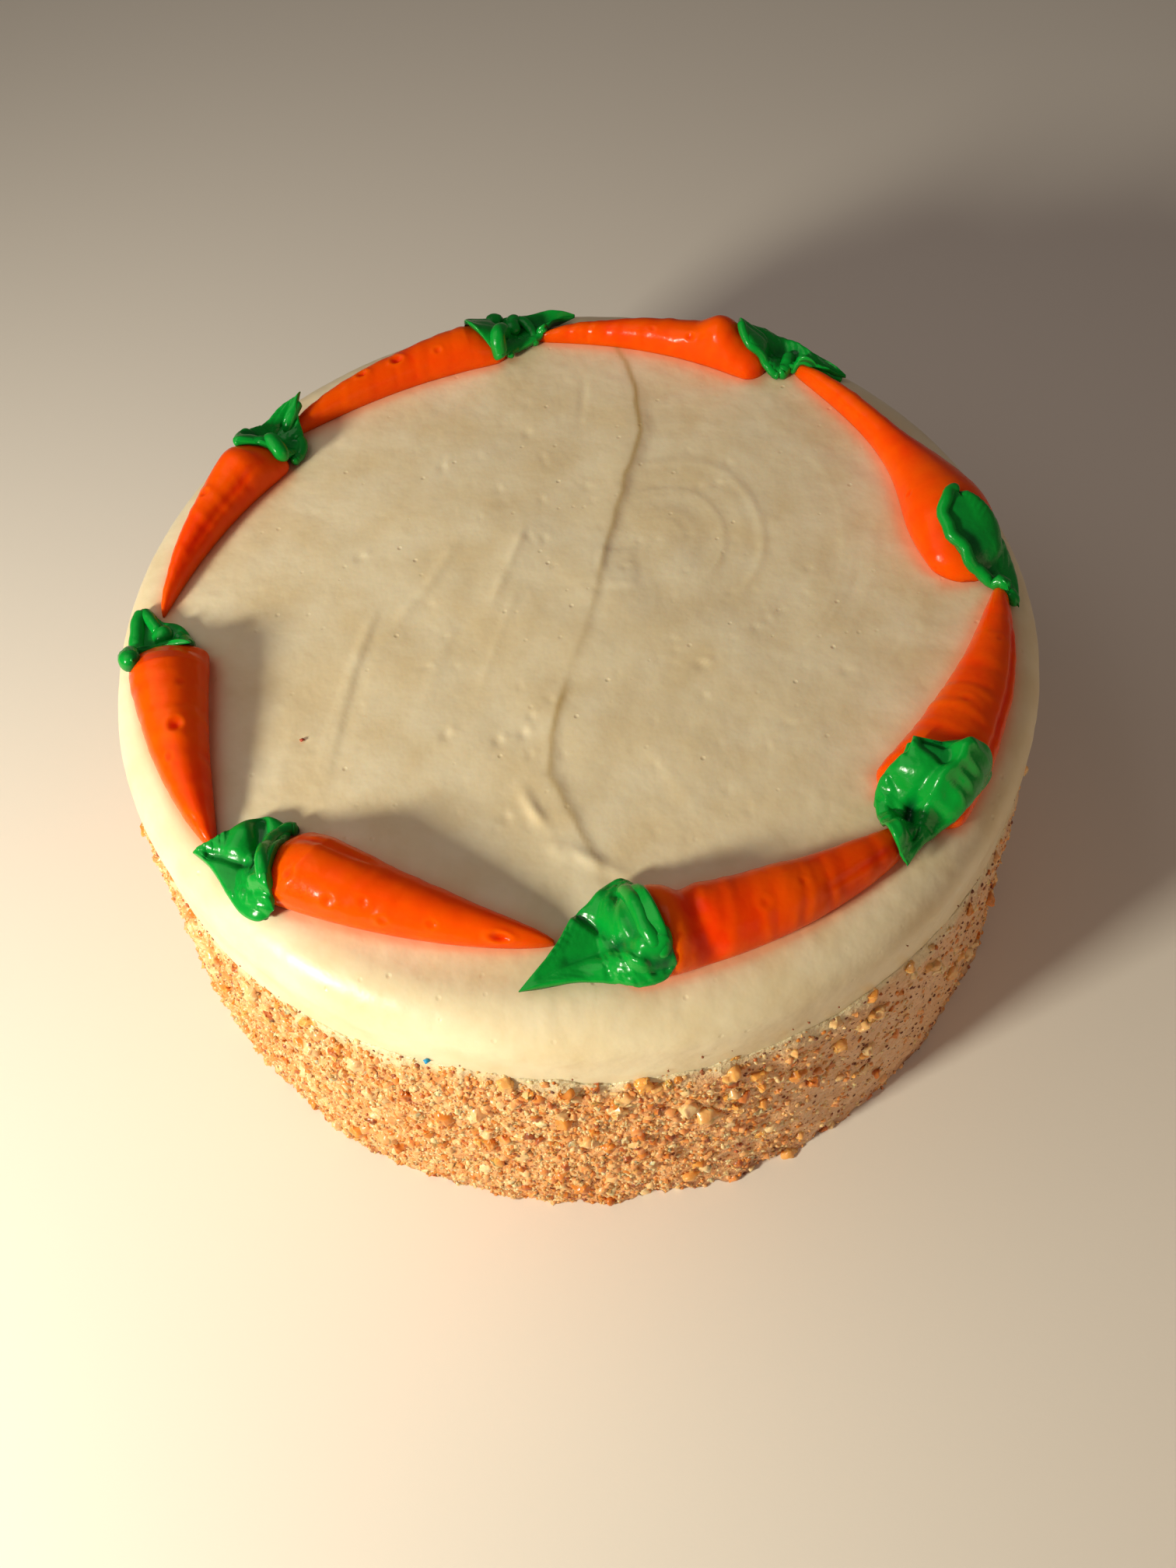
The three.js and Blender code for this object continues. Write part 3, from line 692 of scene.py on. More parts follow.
BEAD_ARCH, BEAD_BASE = 44, 8             # points over the back and along the flat base
PULSES = [(5.6, 1.0, 1.0, 0.0), (3.3, 0.5, 1.4, 1.0)]   # spacing, size, lean and start of the rings


def bead_half(carrot, t):
    neck = carrot.get("neck", 1.0)
    along = np.clip((1 - t) / (1 - carrot["widest"]), 0, 1)
    share = (1 - neck) * bell(t - carrot["widest"], NECK_REACH) + neck * along ** carrot["taper"]
    head = np.sqrt(np.clip(1 - (1 - np.minimum(t / HEAD_ROUND, 1)) ** 2, 0, 1))
    return carrot["half"] * share * head


def bead_height(carrot, t, carrots):
    bead = carrots.height * (bead_half(carrot, t) / carrots.half) ** HEIGHT_POWER
    slope = 0.5 + 0.5 * np.minimum(t / HEAD_SLOPE, 1)
    return bead * slope + carrot.get("curl", 0) * bell(t - CURL_PLACE, CURL_REACH)


def bead_path(carrot, t):
    head, middle, tip = carrot["path"]
    return head * (1 - t) * (1 - 2 * t) + 4 * middle * t * (1 - t) + tip * t * (2 * t - 1)


def support_height(x, y, icing, carrots):
    """Height of the icing, or of the carrot that lies over it."""
    ground = icing_height(x, y, icing)
    height = ground.copy()
    turn = np.degrees(np.arctan2(y, x))
    for carrot in CARROTS:
        for lap in (-360, 0, 360):
            t = (turn + lap - carrot["head"]) / (carrot["tip"] - carrot["head"])
            inside = np.clip(t, 0.001, 0.999)
            across = (np.hypot(x, y) - bead_path(carrot, inside)) / bead_half(carrot, inside)
            over = (t > 0) & (t < 1) & (abs(across) < 1)
            back = WAIST_HEIGHT + (1 - WAIST_HEIGHT) * np.sqrt(np.clip(1 - across ** 2, 0, 1))
            bead = ground + bead_height(carrot, inside, carrots) * back
            height = np.where(over, np.maximum(height, bead), height)
    return height


def carrot_mesh(number, carrot, icing, carrots):
    """A squeezed bead of buttercream: rings from the pulse of the hand, pits, a curl."""
    turn = np.radians(np.linspace(-BEAD_SPAN, 180 + BEAD_SPAN, BEAD_ARCH + 1))
    across = np.concatenate([np.cos(turn), np.linspace(-0.72, 0.72, BEAD_BASE)])
    up = np.concatenate([WAIST_HEIGHT + (1 - WAIST_HEIGHT) * np.sin(turn), np.full(BEAD_BASE, -0.02)])
    back = np.concatenate([turn, np.full(BEAD_BASE, -1.5)])
    # the stations are closer together at both ends
    t = 0.5 - 0.5 * np.cos(np.linspace(0.06, math.pi - 0.05, carrots.stations))
    t = 0.35 * t + 0.65 * np.linspace(0.003, 0.992, carrots.stations)
    t, back = np.meshgrid(t, back, indexing="ij")
    around = len(across)
    across, up = np.broadcast_to(across, t.shape), np.broadcast_to(up, t.shape)
    run = math.radians(carrot["tip"] - carrot["head"]) * carrot["path"][1]
    distance = t * run
    seed = 100 * number
    flat = np.stack([distance.ravel(), (back * 5).ravel()], 1)
    wobble = (lumpy(flat, 9, seed) * 1.1).reshape(t.shape)
    lean = 1.4 * np.cos(back) + wobble
    ring = sum(size * np.sin(2 * math.pi * (distance + slant * lean) / spacing + start)
               for spacing, size, slant, start in PULSES)
    patchy = 0.65 + 0.6 * lumpy(flat, 13, seed + 1).reshape(t.shape)
    swell = carrot["rings"] * ring * patchy
    swell += (0.28 * lumpy(flat, 9, seed + 2) + 0.06 * lumpy(flat, 3.4, seed + 3)).reshape(t.shape)
    for (t0, over0), (t1, over1), reach, depth in carrot.get("creases", ()):
        share = np.clip((t - t0) / (t1 - t0), 0, 1)
        line = math.radians(over0) + math.radians(over1 - over0) * share
        fade = smooth_step(share, 0, 0.25) * (1 - smooth_step(share, 0.7, 1))
        swell -= depth * fade * bell((back - line) * bead_half(carrot, t), reach)
    if "waist" in carrot:
        place, depth = carrot["waist"]
        slant = place + 0.02 * np.cos(back)
        swell -= 9 * depth * bell(t - slant, 0.035)
        swell += 5 * depth * bell(t - slant + 0.1, 0.06)
    for place, over, reach, depth in carrot["pits"]:
        gap = np.hypot((t - place) * run, (back - math.radians(over)) * 7)
        swell += depth * (0.45 * bell(gap - 1.5 * reach, 0.7 * reach) - bell(gap, reach))
    # the base and the very tip stay smooth
    swell *= smooth_step(back, -0.6, 0.4) * (1 - smooth_step(back, 2.8, 3.7))
    swell *= smooth_step(1 - t, 0.0, 0.06)
    half = bead_half(carrot, t)
    height = bead_height(carrot, t, carrots)
    push = swell / np.maximum(np.hypot(half * np.cos(back), height * np.sin(back)), 1.5)
    radius = bead_path(carrot, t) + half * across * (1 + push)
    angle = np.radians(carrot["head"] + (carrot["tip"] - carrot["head"]) * t)
    x, y = radius * np.cos(angle), radius * np.sin(angle)
    z = icing_height(x, y, icing) + height * up * (1 + np.where(up > 0, push, 0))
    points = np.stack([x, y, z], -1).reshape(-1, 3)
    # painted shade: grooves and pits are marked to take the deeper colour, crests less of it
    crease = (0.5 - 0.5 * np.clip(swell / 0.5, -1, 1)).ravel()
    return close_tube(points, len(t), around, {"crease": crease})


def close_tube(points, rings, around, attributes):
    """Joins rings into a tube and closes each end on its middle point. Each ring runs
    clockwise, seen along the tube."""
    faces = [*ring_wall(rings, around)[:, ::-1]]
    middles = [points[:around].mean(0), points[-around:].mean(0)]
    j = np.arange(around)
    k = (j + 1) % around
    low, high = len(points), len(points) + 1
    faces += [*np.stack([j, k, np.full(around, low)], 1)]
    end = (rings - 1) * around
    faces += [*np.stack([end + k, end + j, np.full(around, high)], 1)]
    attributes = {key: np.concatenate([value, [value[0], value[-1]]]) for key, value in attributes.items()}
    return np.concatenate([points, middles]), faces, attributes


# ---- the leaves ----
# One row for each leaf, at the head of the carrot of the same number. left, middle and
# right run from base to tip, seen with the tip ahead, in millimetres on the plan, each
# with its lift over what it lies on. ropes are rolled folds, each with its radius. folds
# are ridges and valleys along a line on the plan, with their reach and height, and one
# with a single point is a knob. Up to the share "hugs" of its length a leaf stays above
# what it lies on, and past that its tip may sink into it. ruffles is (waves, height, start)
# along the edges, and ribs is the height of the marks across the left and the right half.
LEAVES = [
    {"left": [(-64.0, -76.2, 1.2), (-67.8, -77.2, 1.5), (-71.5, -74.9, 1.3), (-74.6, -70.5, 1.0),
              (-76.7, -66.8, 0.8), (-79.4, -62.8, 0.6), (-82.8, -59.5, 0.3)],
     "middle": [(-64.2, -70.8, 0.9), (-67.6, -67.2, 0.7), (-71.2, -64.2, 0.6), (-74.4, -62.4, 0.5),
                (-77.4, -61.2, 0.4), (-80.0, -60.3, 0.4), (-82.8, -59.5, 0.3)],
     "right": [(-62.0, -56.8, 0.0), (-64.0, -54.6, 0.5), (-67.4, -53.1, 1.2), (-71.3, -53.8, 1.1),
               (-74.6, -55.8, 0.8), (-78.2, -58.0, 0.6), (-82.8, -59.5, 0.3)],
     "ropes": [([(-60.8, -56.2, 0.8), (-62.9, -56.4, 1.9), (-64.9, -58.8, 2.6), (-65.8, -62.4, 2.8),
                 (-65.8, -66.4, 2.5), (-65.3, -70.0, 1.7), (-65.0, -73.0, 0.6)], 1.5),
               ([(-67.9, -75.4, 0.9), (-66.2, -75.0, 0.9)], 2.0), ([(-71.2, -72.2, 0.6),
                                                                    (-70.2, -71.2, 0.5)], 1.1)],
     "folds": [([(-72.8, -60.2), (-71.6, -57.6)], 3.4, 1.6),
               ([(-68.6, -54.9), (-67.8, -60.0), (-67.6, -64.4), (-67.2, -68.0)], 1.4, -2.4),
               ([(-67.7, -75.0), (-65.6, -74.0)], 2.6, 0.9),
               ([(-79.0, -61.0), (-76.0, -62.2), (-70.5, -64.8)], 1.0, -0.8),
               ([(-74.6, -69.8)], 0.8, 0.35), ([(-73.2, -70.9)], 0.7, 0.3), ([(-71.0, -71.7)], 0.9, 0.45),
               ([(-72.2, -70.0)], 0.6, 0.25), ([(-69.4, -73.4)], 0.8, 0.3)],
     "hugs": 0.6, "ruffles": (1.5, 0.2, 0.2), "ribs": (0.0, 0.0)},
    {"left": [(14.6, -95.8, 1.2), (11.6, -98.0, 1.4), (6.8, -98.5, 1.2), (2.3, -96.9, 1.0),
              (-3.4, -96.0, 0.8), (-9.0, -96.1, 0.6), (-16.1, -96.7, 0.3)],
     "middle": [(13.4, -92.2, 1.2), (9.4, -91.0, 1.1), (4.6, -90.2, 0.9), (-0.6, -90.4, 0.8),
                (-5.8, -91.8, 0.7), (-11.0, -94.2, 0.5), (-16.1, -96.7, 0.3)],
     "right": [(9.8, -80.6, 1.6), (6.4, -75.0, 1.6), (2.6, -75.7, 1.6), (-1.9, -79.8, 1.2),
               (-5.0, -82.2, 1.2), (-8.9, -88.5, 0.8), (-16.1, -96.7, 0.3)],
     "ropes": [([(5.2, -77.4, 0.6), (7.0, -81.6, 1.5), (8.2, -85.4, 1.8), (9.0, -88.8, 1.8),
                 (10.1, -91.2, 1.6),
                 (11.2, -93.4, 1.2)], 1.9),
               ([(11.6, -89.8, 0.8), (12.4, -91.4, 1.1), (12.4, -93.2, 1.0), (11.2, -94.6, 0.6)], 1.5)],
     "folds": [([(1.0, -78.4), (2.2, -83.0), (3.6, -87.0)], 2.4, 1.3),
               ([(4.6, -80.4), (5.6, -86.0), (7.0, -90.4)], 1.1, -0.8),
               ([(-4.0, -81.6), (0.0, -85.2), (3.8, -90.4), (7.2, -94.2), (10.6, -96.0)], 1.0, -1.3),
               ([(0.4, -93.4), (7.1, -95.2)], 2.4, 1.1),
               ([(-6.0, -91.4), (1.0, -90.4), (6.0, -91.6)], 1.1, -0.4),
               ([(13.8, -94.4), (12.4, -95.8)], 1.0, -1.3),
               ([(3.4, -93.4), (3.2, -97.0)], 0.6, 0.2), ([(5.8, -94.0), (6.0, -98.0)], 0.6, 0.2),
               ([(8.4, -95.4), (9.4, -98.0)], 0.6, 0.2), ([(0.6, -92.8), (0.4, -96.0)], 0.6, 0.2)],
     "hugs": 1.0, "ruffles": (2.5, 0.3, 0.1), "ribs": (0.02, 0.02)},
    {"left": [(77.2, -55.8, 1.5), (81.2, -55.4, 1.3), (83.4, -56.6, 1.0), (83.6, -58.4, 0.8),
              (80.5, -62.2, 0.6),
              (75.8, -67.0, 0.5), (71.4, -69.2, 0.4), (67.4, -71.8, 0.4), (63.0, -76.5, 0.3)],
     "middle": [(72.6, -55.9, 0.8), (71.8, -58.6, 0.8), (70.2, -61.2, 0.8), (68.4, -63.4, 0.8),
                (66.8, -65.4, 0.7), (65.6, -67.6, 0.5), (64.6, -70.4, 0.4), (63.8, -73.2, 0.4),
                (63.0, -76.5, 0.3)],
     "right": [(67.2, -52.2, 1.8), (65.6, -55.0, 2.0), (63.0, -56.2, 1.8), (60.4, -57.6, 1.8),
               (59.2, -60.6, 1.6), (58.9, -64.4, 1.4), (59.0, -69.4, 1.2), (60.3, -73.8, 0.8),
               (63.0, -76.5, 0.3)],
     "ropes": [([(67.0, -52.9, 1.4), (65.4, -55.6, 1.7), (62.6, -57.0, 1.6), (60.6, -58.8, 1.4),
                 (59.8, -62.0, 1.2)], 0.9)],
     "folds": [([(69.8, -54.4), (71.8, -56.4), (72.8, -58.4)], 1.7, -2.6),
               ([(65.8, -64.2), (65.0, -67.0), (64.4, -70.4)], 1.1, -2.2), ([(70.0, -60.4),
                                                                             (67.0, -62.6)], 0.9, -0.6),
               ([(77.4, -56.8), (73.4, -60.4), (70.2, -63.4), (68.2, -65.9), (66.6, -69.4)], 1.9, 2.0),
               ([(78.4, -57.4), (82.6, -58.6)], 0.7, 0.6), ([(76.6, -59.6), (80.8, -61.8)], 0.7, 0.6),
               ([(74.6, -61.8), (78.6, -64.4)], 0.7, 0.6), ([(72.6, -63.8), (76.2, -66.6)], 0.7, 0.6),
               ([(70.6, -65.8), (73.6, -68.4)], 0.7, 0.5), ([(69.0, -67.8), (70.8, -70.0)], 0.7, 0.35),
               ([(61.9, -58.2), (66.0, -60.0), (69.6, -60.8)], 2.2, 0.7),
               ([(60.8, -62.0), (61.4, -68.0), (62.6, -74.0)], 1.3, 0.9),
               ([(66.2, -54.0)], 0.8, 0.8), ([(64.2, -55.8)], 0.8, 0.8), ([(61.0, -58.4)], 1.4, 0.6)],
     "hugs": 1.0, "ruffles": (3.0, 0.2, 0.5), "ribs": (0.0, 0.02)},
    {"left": [(91.8, 13.2, 0.3), (95.0, 11.2, 0.2), (98.4, 9.0, 0.2), (101.4, 6.8, 0.2),
              (103.0, 3.6, 0.3), (103.4, 0.0, 0.3), (102.8, -5.6, 0.3), (101.2, -12.1, 0.3)],
     "middle": [(90.6, 12.2, 0.1), (91.2, 9.2, 0.0), (92.4, 6.4, 0.0), (94.0, 3.8, 0.0),
                (96.0, 1.2, 0.1), (98.2, -1.8, 0.2), (100.0, -6.0, 0.3), (101.2, -12.1, 0.3)],
     "right": [(88.8, 13.6, 0.8), (86.6, 11.0, 1.0), (85.3, 7.5, 1.0), (86.8, 3.4, 1.0),
               (89.2, -0.2, 1.0), (92.6, -3.8, 0.9), (97.2, -7.8, 0.7), (101.2, -12.1, 0.3)],
     "ropes": [([(90.4, 14.0, 1.4), (88.2, 12.8, 2.0), (87.2, 10.8, 2.4), (85.8, 8.0, 2.8),
                 (86.8, 5.2, 2.9),
                 (87.4, 2.6, 3.2), (89.8, 0.4, 3.0), (91.0, -2.0, 3.2), (93.6, -3.6, 2.8),
                 (95.8, -5.8, 2.4),
                 (98.6, -8.0, 1.6), (101.0, -11.4, 0.7)], 1.45),
               ([(92.6, 8.2, 0.5), (94.0, 4.0, 0.6), (96.4, 0.6, 0.6), (99.0, -3.6, 0.5)], 0.5)],
     "folds": [([(88.8, 9.4), (90.0, 5.6), (92.4, 1.2), (95.8, -2.4)], 1.9, -1.1)],
     "hugs": 1.0, "ruffles": (3.2, 0.15, 0.3), "ribs": (0.07, 0.0)},
    {"left": [(48.8, 88.2, 2.0), (52.6, 87.0, 3.4), (56.4, 85.2, 3.6), (59.4, 83.0, 3.0), (63.4, 79.6, 3.4),
              (66.2, 77.0, 3.0), (69.2, 73.8, 2.4), (72.4, 70.8, 1.8), (75.4, 68.2, 0.9)],
     "middle": [(49.4, 81.0, 1.0), (52.6, 79.8, 0.7), (55.8, 78.2, 0.4), (59.2, 76.6, 0.3),
                (62.6, 74.8, 0.3), (66.0, 73.0, 0.4), (69.4, 71.2, 0.4), (72.6, 69.4, 0.5),
                (75.4, 68.0, 0.5)],
     "right": [(49.6, 77.2, 0.9), (50.4, 74.9, 1.0), (52.6, 73.7, 1.0), (55.2, 72.2, 0.9),
               (57.6, 70.6, 0.9), (60.6, 71.4, 1.0), (64.6, 70.4, 0.8), (70.0, 68.8, 0.6),
               (75.4, 67.8, 0.5)],
     "ropes": [([(49.2, 80.6, 2.2), (49.6, 77.6, 2.0), (51.0, 75.0, 1.6), (54.2, 73.6, 1.5),
                 (56.6, 71.2, 1.3),
                 (58.6, 70.2, 0.9)], 1.15),
               ([(58.0, 70.4, 0.8), (59.8, 71.8, 1.3), (61.2, 74.4, 2.0), (62.0, 76.8, 2.0)], 1.8),
               ([(60.6, 72.2, 0.7), (64.6, 71.2, 1.0), (69.8, 69.6, 0.9), (74.6, 68.2, 0.5)], 0.9)],
     "folds": [([(56.4, 75.4), (59.0, 77.2), (63.8, 76.6)], 1.4, -1.0), ([(53.0, 84.6),
                                                                          (60.0, 80.6)], 1.0, 0.5)],
     "hugs": 1.0, "ruffles": (3.4, 0.25, 0.0), "ribs": (0.05, 0.03)},
    {"left": [(-23.4, 96.6, 0.9), (-20.4, 98.2, 1.0), (-16.4, 98.4, 1.2), (-12.6, 99.0, 1.7),
              (-8.8, 99.0, 2.0), (-5.0, 99.2, 2.4), (-1.0, 99.4, 2.8), (3.0, 99.4, 2.2), (6.8, 99.6, 0.9)],
     "middle": [(-22.6, 92.4, 0.8), (-19.4, 92.4, 0.4), (-15.6, 92.6, 0.2), (-12.0, 93.2, 0.1),
                (-8.4, 94.4, 0.2), (-4.6, 95.8, 0.2), (-1.0, 96.8, 0.4), (2.8, 98.2, 0.6),
                (6.8, 99.4, 0.5)],
     "right": [(-21.4, 88.8, 0.8), (-18.2, 86.0, 0.8), (-15.0, 83.9, 0.6), (-12.0, 84.8, 0.5),
               (-8.4, 87.6, 0.5), (-5.0, 89.4, 0.6), (-1.7, 92.1, 0.8), (1.6, 96.6, 0.8), (6.8, 99.2, 0.4)],
     "ropes": [([(-11.8, 90.4, 2.4), (-13.2, 88.8, 3.2), (-14.1, 86.6, 3.0), (-13.9, 84.8, 1.7),
                 (-13.2, 84.0, 0.8)], 2.1),
               ([(-8.6, 98.0, 2.6), (-10.0, 96.6, 3.5), (-10.2, 94.6, 3.3), (-9.0, 92.8, 2.2)], 1.9),
               ([(-9.4, 97.6, 3.1), (-7.0, 96.6, 3.0), (-5.2, 94.0, 2.3), (-4.6, 91.4, 1.4),
                 (-4.8, 89.8, 0.8)], 1.35),
               ([(-9.0, 92.4, 1.5), (-7.6, 90.6, 1.4), (-7.2, 88.6, 0.9)], 1.2),
               ([(-2.4, 95.4, 1.4), (-1.8, 93.6, 1.2), (-2.2, 92.0, 0.8)], 1.0),
               ([(-11.6, 88.4, 0.8), (-11.2, 86.4, 0.7), (-11.6, 85.0, 0.5)], 1.1),
               ([(-22.8, 95.6, 0.9), (-20.6, 97.4, 1.5), (-18.6, 97.8, 1.3)], 1.5),
               ([(-17.2, 97.4, 1.9), (-15.0, 98.0, 2.8), (-12.4, 98.0, 2.3)], 1.9)],
     "folds": [([(-20.0, 91.2), (-14.0, 93.0), (-8.6, 97.0), (-2.0, 97.6)], 1.8, -0.9)],
     "hugs": 1.0, "ruffles": (3.6, 0.2, 0.35), "ribs": (0.03, 0.02)},
    {"left": [(-79.6, 51.6, 0.5), (-80.6, 53.8, 1.4), (-79.2, 57.2, 3.0), (-76.4, 60.4, 4.0),
              (-73.0, 63.6, 4.5), (-69.6, 66.8, 4.7), (-64.7, 68.8, 4.7)],
     "middle": [(-75.0, 52.4, 0.4), (-74.2, 55.4, 0.3), (-73.0, 58.6, 0.6), (-71.2, 61.4, 1.3),
                (-69.0, 64.0, 2.4), (-67.0, 66.4, 3.5), (-64.7, 68.6, 4.6)],
     "right": [(-68.8, 50.6, 0.5), (-67.0, 53.2, 0.6), (-65.2, 56.4, 0.8), (-65.0, 60.2, 1.4),
               (-65.7, 63.4, 2.2), (-65.4, 66.0, 3.2), (-64.7, 68.4, 4.6)],
     "ropes": [([(-80.6, 52.2, 0.8), (-78.4, 52.8, 1.2), (-75.4, 53.2, 1.1), (-72.6, 53.6, 1.2)], 1.3),
               ([(-80.4, 52.2, 0.9), (-79.0, 52.8, 1.0)], 1.6),
               ([(-73.0, 55.4, 1.4), (-71.6, 53.4, 2.1), (-70.0, 51.6, 1.8), (-68.6, 50.4, 0.8)], 2.15),
               ([(-67.4, 60.6, 1.8), (-65.6, 59.0, 1.9), (-65.2, 56.4, 1.6), (-66.2, 53.8, 1.0),
                 (-67.6, 51.4, 0.5)], 1.25),
               ([(-73.0, 57.0, 0.6), (-70.0, 60.6, 1.4), (-67.4, 64.2, 2.6), (-65.6, 67.2, 3.8)], 1.5)],
     "folds": [([(-78.0, 56.2), (-73.8, 57.0)], 1.2, -1.4), ([(-68.6, 56.4), (-67.6, 58.2)], 1.3, -1.0)],
     "hugs": 1.0, "ruffles": (2.2, 0.15, 0.2), "ribs": (0.0, 0.0)},
    {"left": [(-100.6, -11.6, 0.4), (-101.6, -9.0, 0.5), (-102.2, -6.4, 0.5), (-102.4, -2.0, 0.4),
              (-102.6, 2.2, 0.4), (-102.2, 5.4, 0.4), (-100.6, 7.6, 0.4)],
     "middle": [(-93.6, -6.6, 0.0), (-95.6, -5.4, 0.0), (-96.8, -3.8, 0.0), (-97.8, -1.2, 0.0),
                (-98.8, 2.4, 0.0), (-99.6, 5.2, 0.1), (-100.4, 7.4, 0.3)],
     "right": [(-85.8, -9.4, 0.3), (-86.8, -5.8, 0.5), (-88.8, -1.4, 0.6), (-91.4, 1.2, 0.6),
               (-94.8, 2.2, 0.5), (-97.2, 4.6, 0.5), (-100.2, 7.4, 0.3)],
     "ropes": [([(-97.8, -14.4, 1.2), (-99.4, -10.6, 1.4), (-100.4, -5.2, 1.5), (-100.8, -0.4, 1.5),
                 (-101.0, 3.6, 1.5),
                 (-100.4, 6.4, 1.2)], 2.0),
               ([(-99.9, -10.4, 1.2), (-99.4, -12.6, 1.3), (-97.6, -14.6, 1.3)], 2.45),
               ([(-100.5, 6.5, 1.1), (-98.8, 4.4, 1.6), (-97.0, 1.6, 1.8), (-95.4, -0.8, 1.7)], 1.55),
               ([(-96.2, -3.8, 1.5), (-94.4, -2.2, 1.9), (-92.0, -1.8, 1.7)], 2.6),
               ([(-91.6, -1.4, 1.2), (-89.2, -4.0, 1.2), (-86.8, -8.2, 0.8)], 1.6)],
     "folds": [([(-98.4, 1.8), (-97.8, -2.6), (-96.4, -8.6), (-94.4, -13.0)], 1.3, -0.8)],
     "hugs": 1.0, "ruffles": (2.4, 0.1, 0.4), "ribs": (0.0, 0.0)},
]
DRAPE_REACH = 3.2        # how far a leaf spans over a steep side
DRAPE_SAMPLES = 12
RIB_SPACING = 1.9
ROPE_STATIONS, ROPE_SIDES = 40, 18


def drape_height(x, y, icing, carrots, hug=1.0):
    """A leaf bridges the steep side of what it lies on, so it rests on a softened height.
    Where it hugs what is under it, that height is nowhere lower."""
    total = 0
    for turn in np.linspace(0, 2 * math.pi, DRAPE_SAMPLES, endpoint=False):
        total = total + support_height(x + DRAPE_REACH * math.cos(turn), y + DRAPE_REACH * math.sin(turn),
                                       icing, carrots)
    mean = total / DRAPE_SAMPLES
    return mean + (np.maximum(support_height(x, y, icing, carrots), mean) - mean) * hug


def smooth_line(points, t):
    """A smooth line through evenly spread points, at the given shares of its length."""
    points = np.array(points, float)
    last = len(points) - 1
    place = np.clip(t, 0, 1) * last
    k = np.clip(np.floor(place).astype(int), 0, last - 1)
    f = (place - k)[:, None]
    before, a, b, after = (points[np.clip(k + step, 0, last)] for step in (-1, 0, 1, 2))
    before = np.where((k == 0)[:, None], 2 * a - b, before)
    after = np.where((k == last - 1)[:, None], 2 * b - a, after)
    return 0.5 * (2 * a + (b - before) * f + (2 * before - 5 * a + 4 * b - after) * f ** 2
                  + (3 * a - before - 3 * b + after) * f ** 3)


def leaf_mesh(number, leaf, icing, carrots, leaves):
    """A ruffled ribbon from a leaf tip: grooved along its middle, with round edges and
    rolled folds, draped over the carrot's head and the icing."""
    t = np.linspace(0, 1, leaves.rows + 1)
    side = np.sin(np.linspace(-math.pi / 2, math.pi / 2, leaves.columns + 1))
    left, middle, right = (smooth_line(leaf[key], t) for key in ("left", "middle", "right"))
    reach = np.abs(side)[None, :, None]
    edge = np.where((side > 0)[None, :, None], left[:, None], right[:, None])
    body = middle[:, None] * (1 - reach) + edge * reach
    x, y, lift = (body[..., k] for k in range(3))
    t, side = np.meshgrid(t, side, indexing="ij")
    waves, rise, start = leaf["ruffles"]
    end = smooth_step(1 - t, 0.0, 0.35)
    plan = np.stack([x.ravel(), y.ravel()], 1)
    wander = lumpy(plan, 7, number).reshape(t.shape)
    ruffle = rise * side ** 2 * np.sin(2 * math.pi * (waves * t + start) + 1.9 * side + 0.8 * wander) * end
    width = np.linalg.norm(left[:, :2] - right[:, :2], axis=1)[:, None]
    run = np.linalg.norm(np.diff(middle[:, :2], axis=0), axis=1).sum()
    phase = (t * run + 0.32 * np.abs(side) * width + 0.9 * wander) / RIB_SPACING
    rib = np.where(side > 0, *leaf["ribs"]) * np.sin(2 * math.pi * phase)
    rib = rib * smooth_step(np.abs(side), 0.2, 0.5) * end
    fold = -0.25 * bell(side, 0.10) * end     # the groove along the middle
    for path, fold_reach, rise in leaf["folds"]:
        gap = along_path(x, y, path * 2 if len(path) == 1 else path)[0]
        fold += rise * bell(gap, fold_reach) * smooth_step(1 - t, 0.0, 0.12)
    fold += 0.05 * lumpy(plan, 2.2, 30 + number).reshape(t.shape)
    hug = 1 - smooth_step(t, leaf["hugs"], leaf["hugs"] + 0.2)
    ground = drape_height(x.ravel(), y.ravel(), icing, carrots, hug.ravel()).reshape(t.shape)
    top = ground + leaves.rest + lift + leaves.thickness * 0.5 + ruffle + rib + fold
    edge_round = (0.75 + 0.4 * side ** 2) * np.sqrt(np.clip(1 - np.abs(side) ** 6, 0, 1))
    end_round = np.sqrt(np.clip(1 - np.clip(1 - t / 0.07, 0, 1) ** 2, 0, 1))
    end_round = end_round * smooth_step(1 - t, -0.05, 0.12)
    half = 0.5 * leaves.thickness * edge_round * np.maximum(end_round, 0.1)
    under = support_height(x.ravel(), y.ravel(), icing, carrots).reshape(t.shape)
    top = np.maximum(top, under + 1.25 * half + 0.15 - 5 * (1 - hug))
    upper = np.stack([x, y, top + half], -1)
    lower = np.stack([x, y, top - half * 1.25 - 0.02], -1)
    rows, columns = t.shape
    loop = np.concatenate([upper, lower[:, -2:0:-1]], axis=1)
    around = loop.shape[1]
    # painted shade: folds and hollows are marked to take the deeper colour, and the whole underside too
    crease = np.clip(0.25 - (fold + rib) / 2.2, 0, 1)
    crease = np.concatenate([crease, np.ones((rows, columns - 2))], axis=1)
    points, faces, attributes = close_tube(loop.reshape(-1, 3), rows, around, {"crease": crease.ravel()})
    parts = [(points, faces, attributes)]
    for k, (path, radius) in enumerate(leaf["ropes"]):
        parts.append(rope_mesh(path, radius, icing, carrots, leaves, 10 * number + k))
    return join_parts(parts)


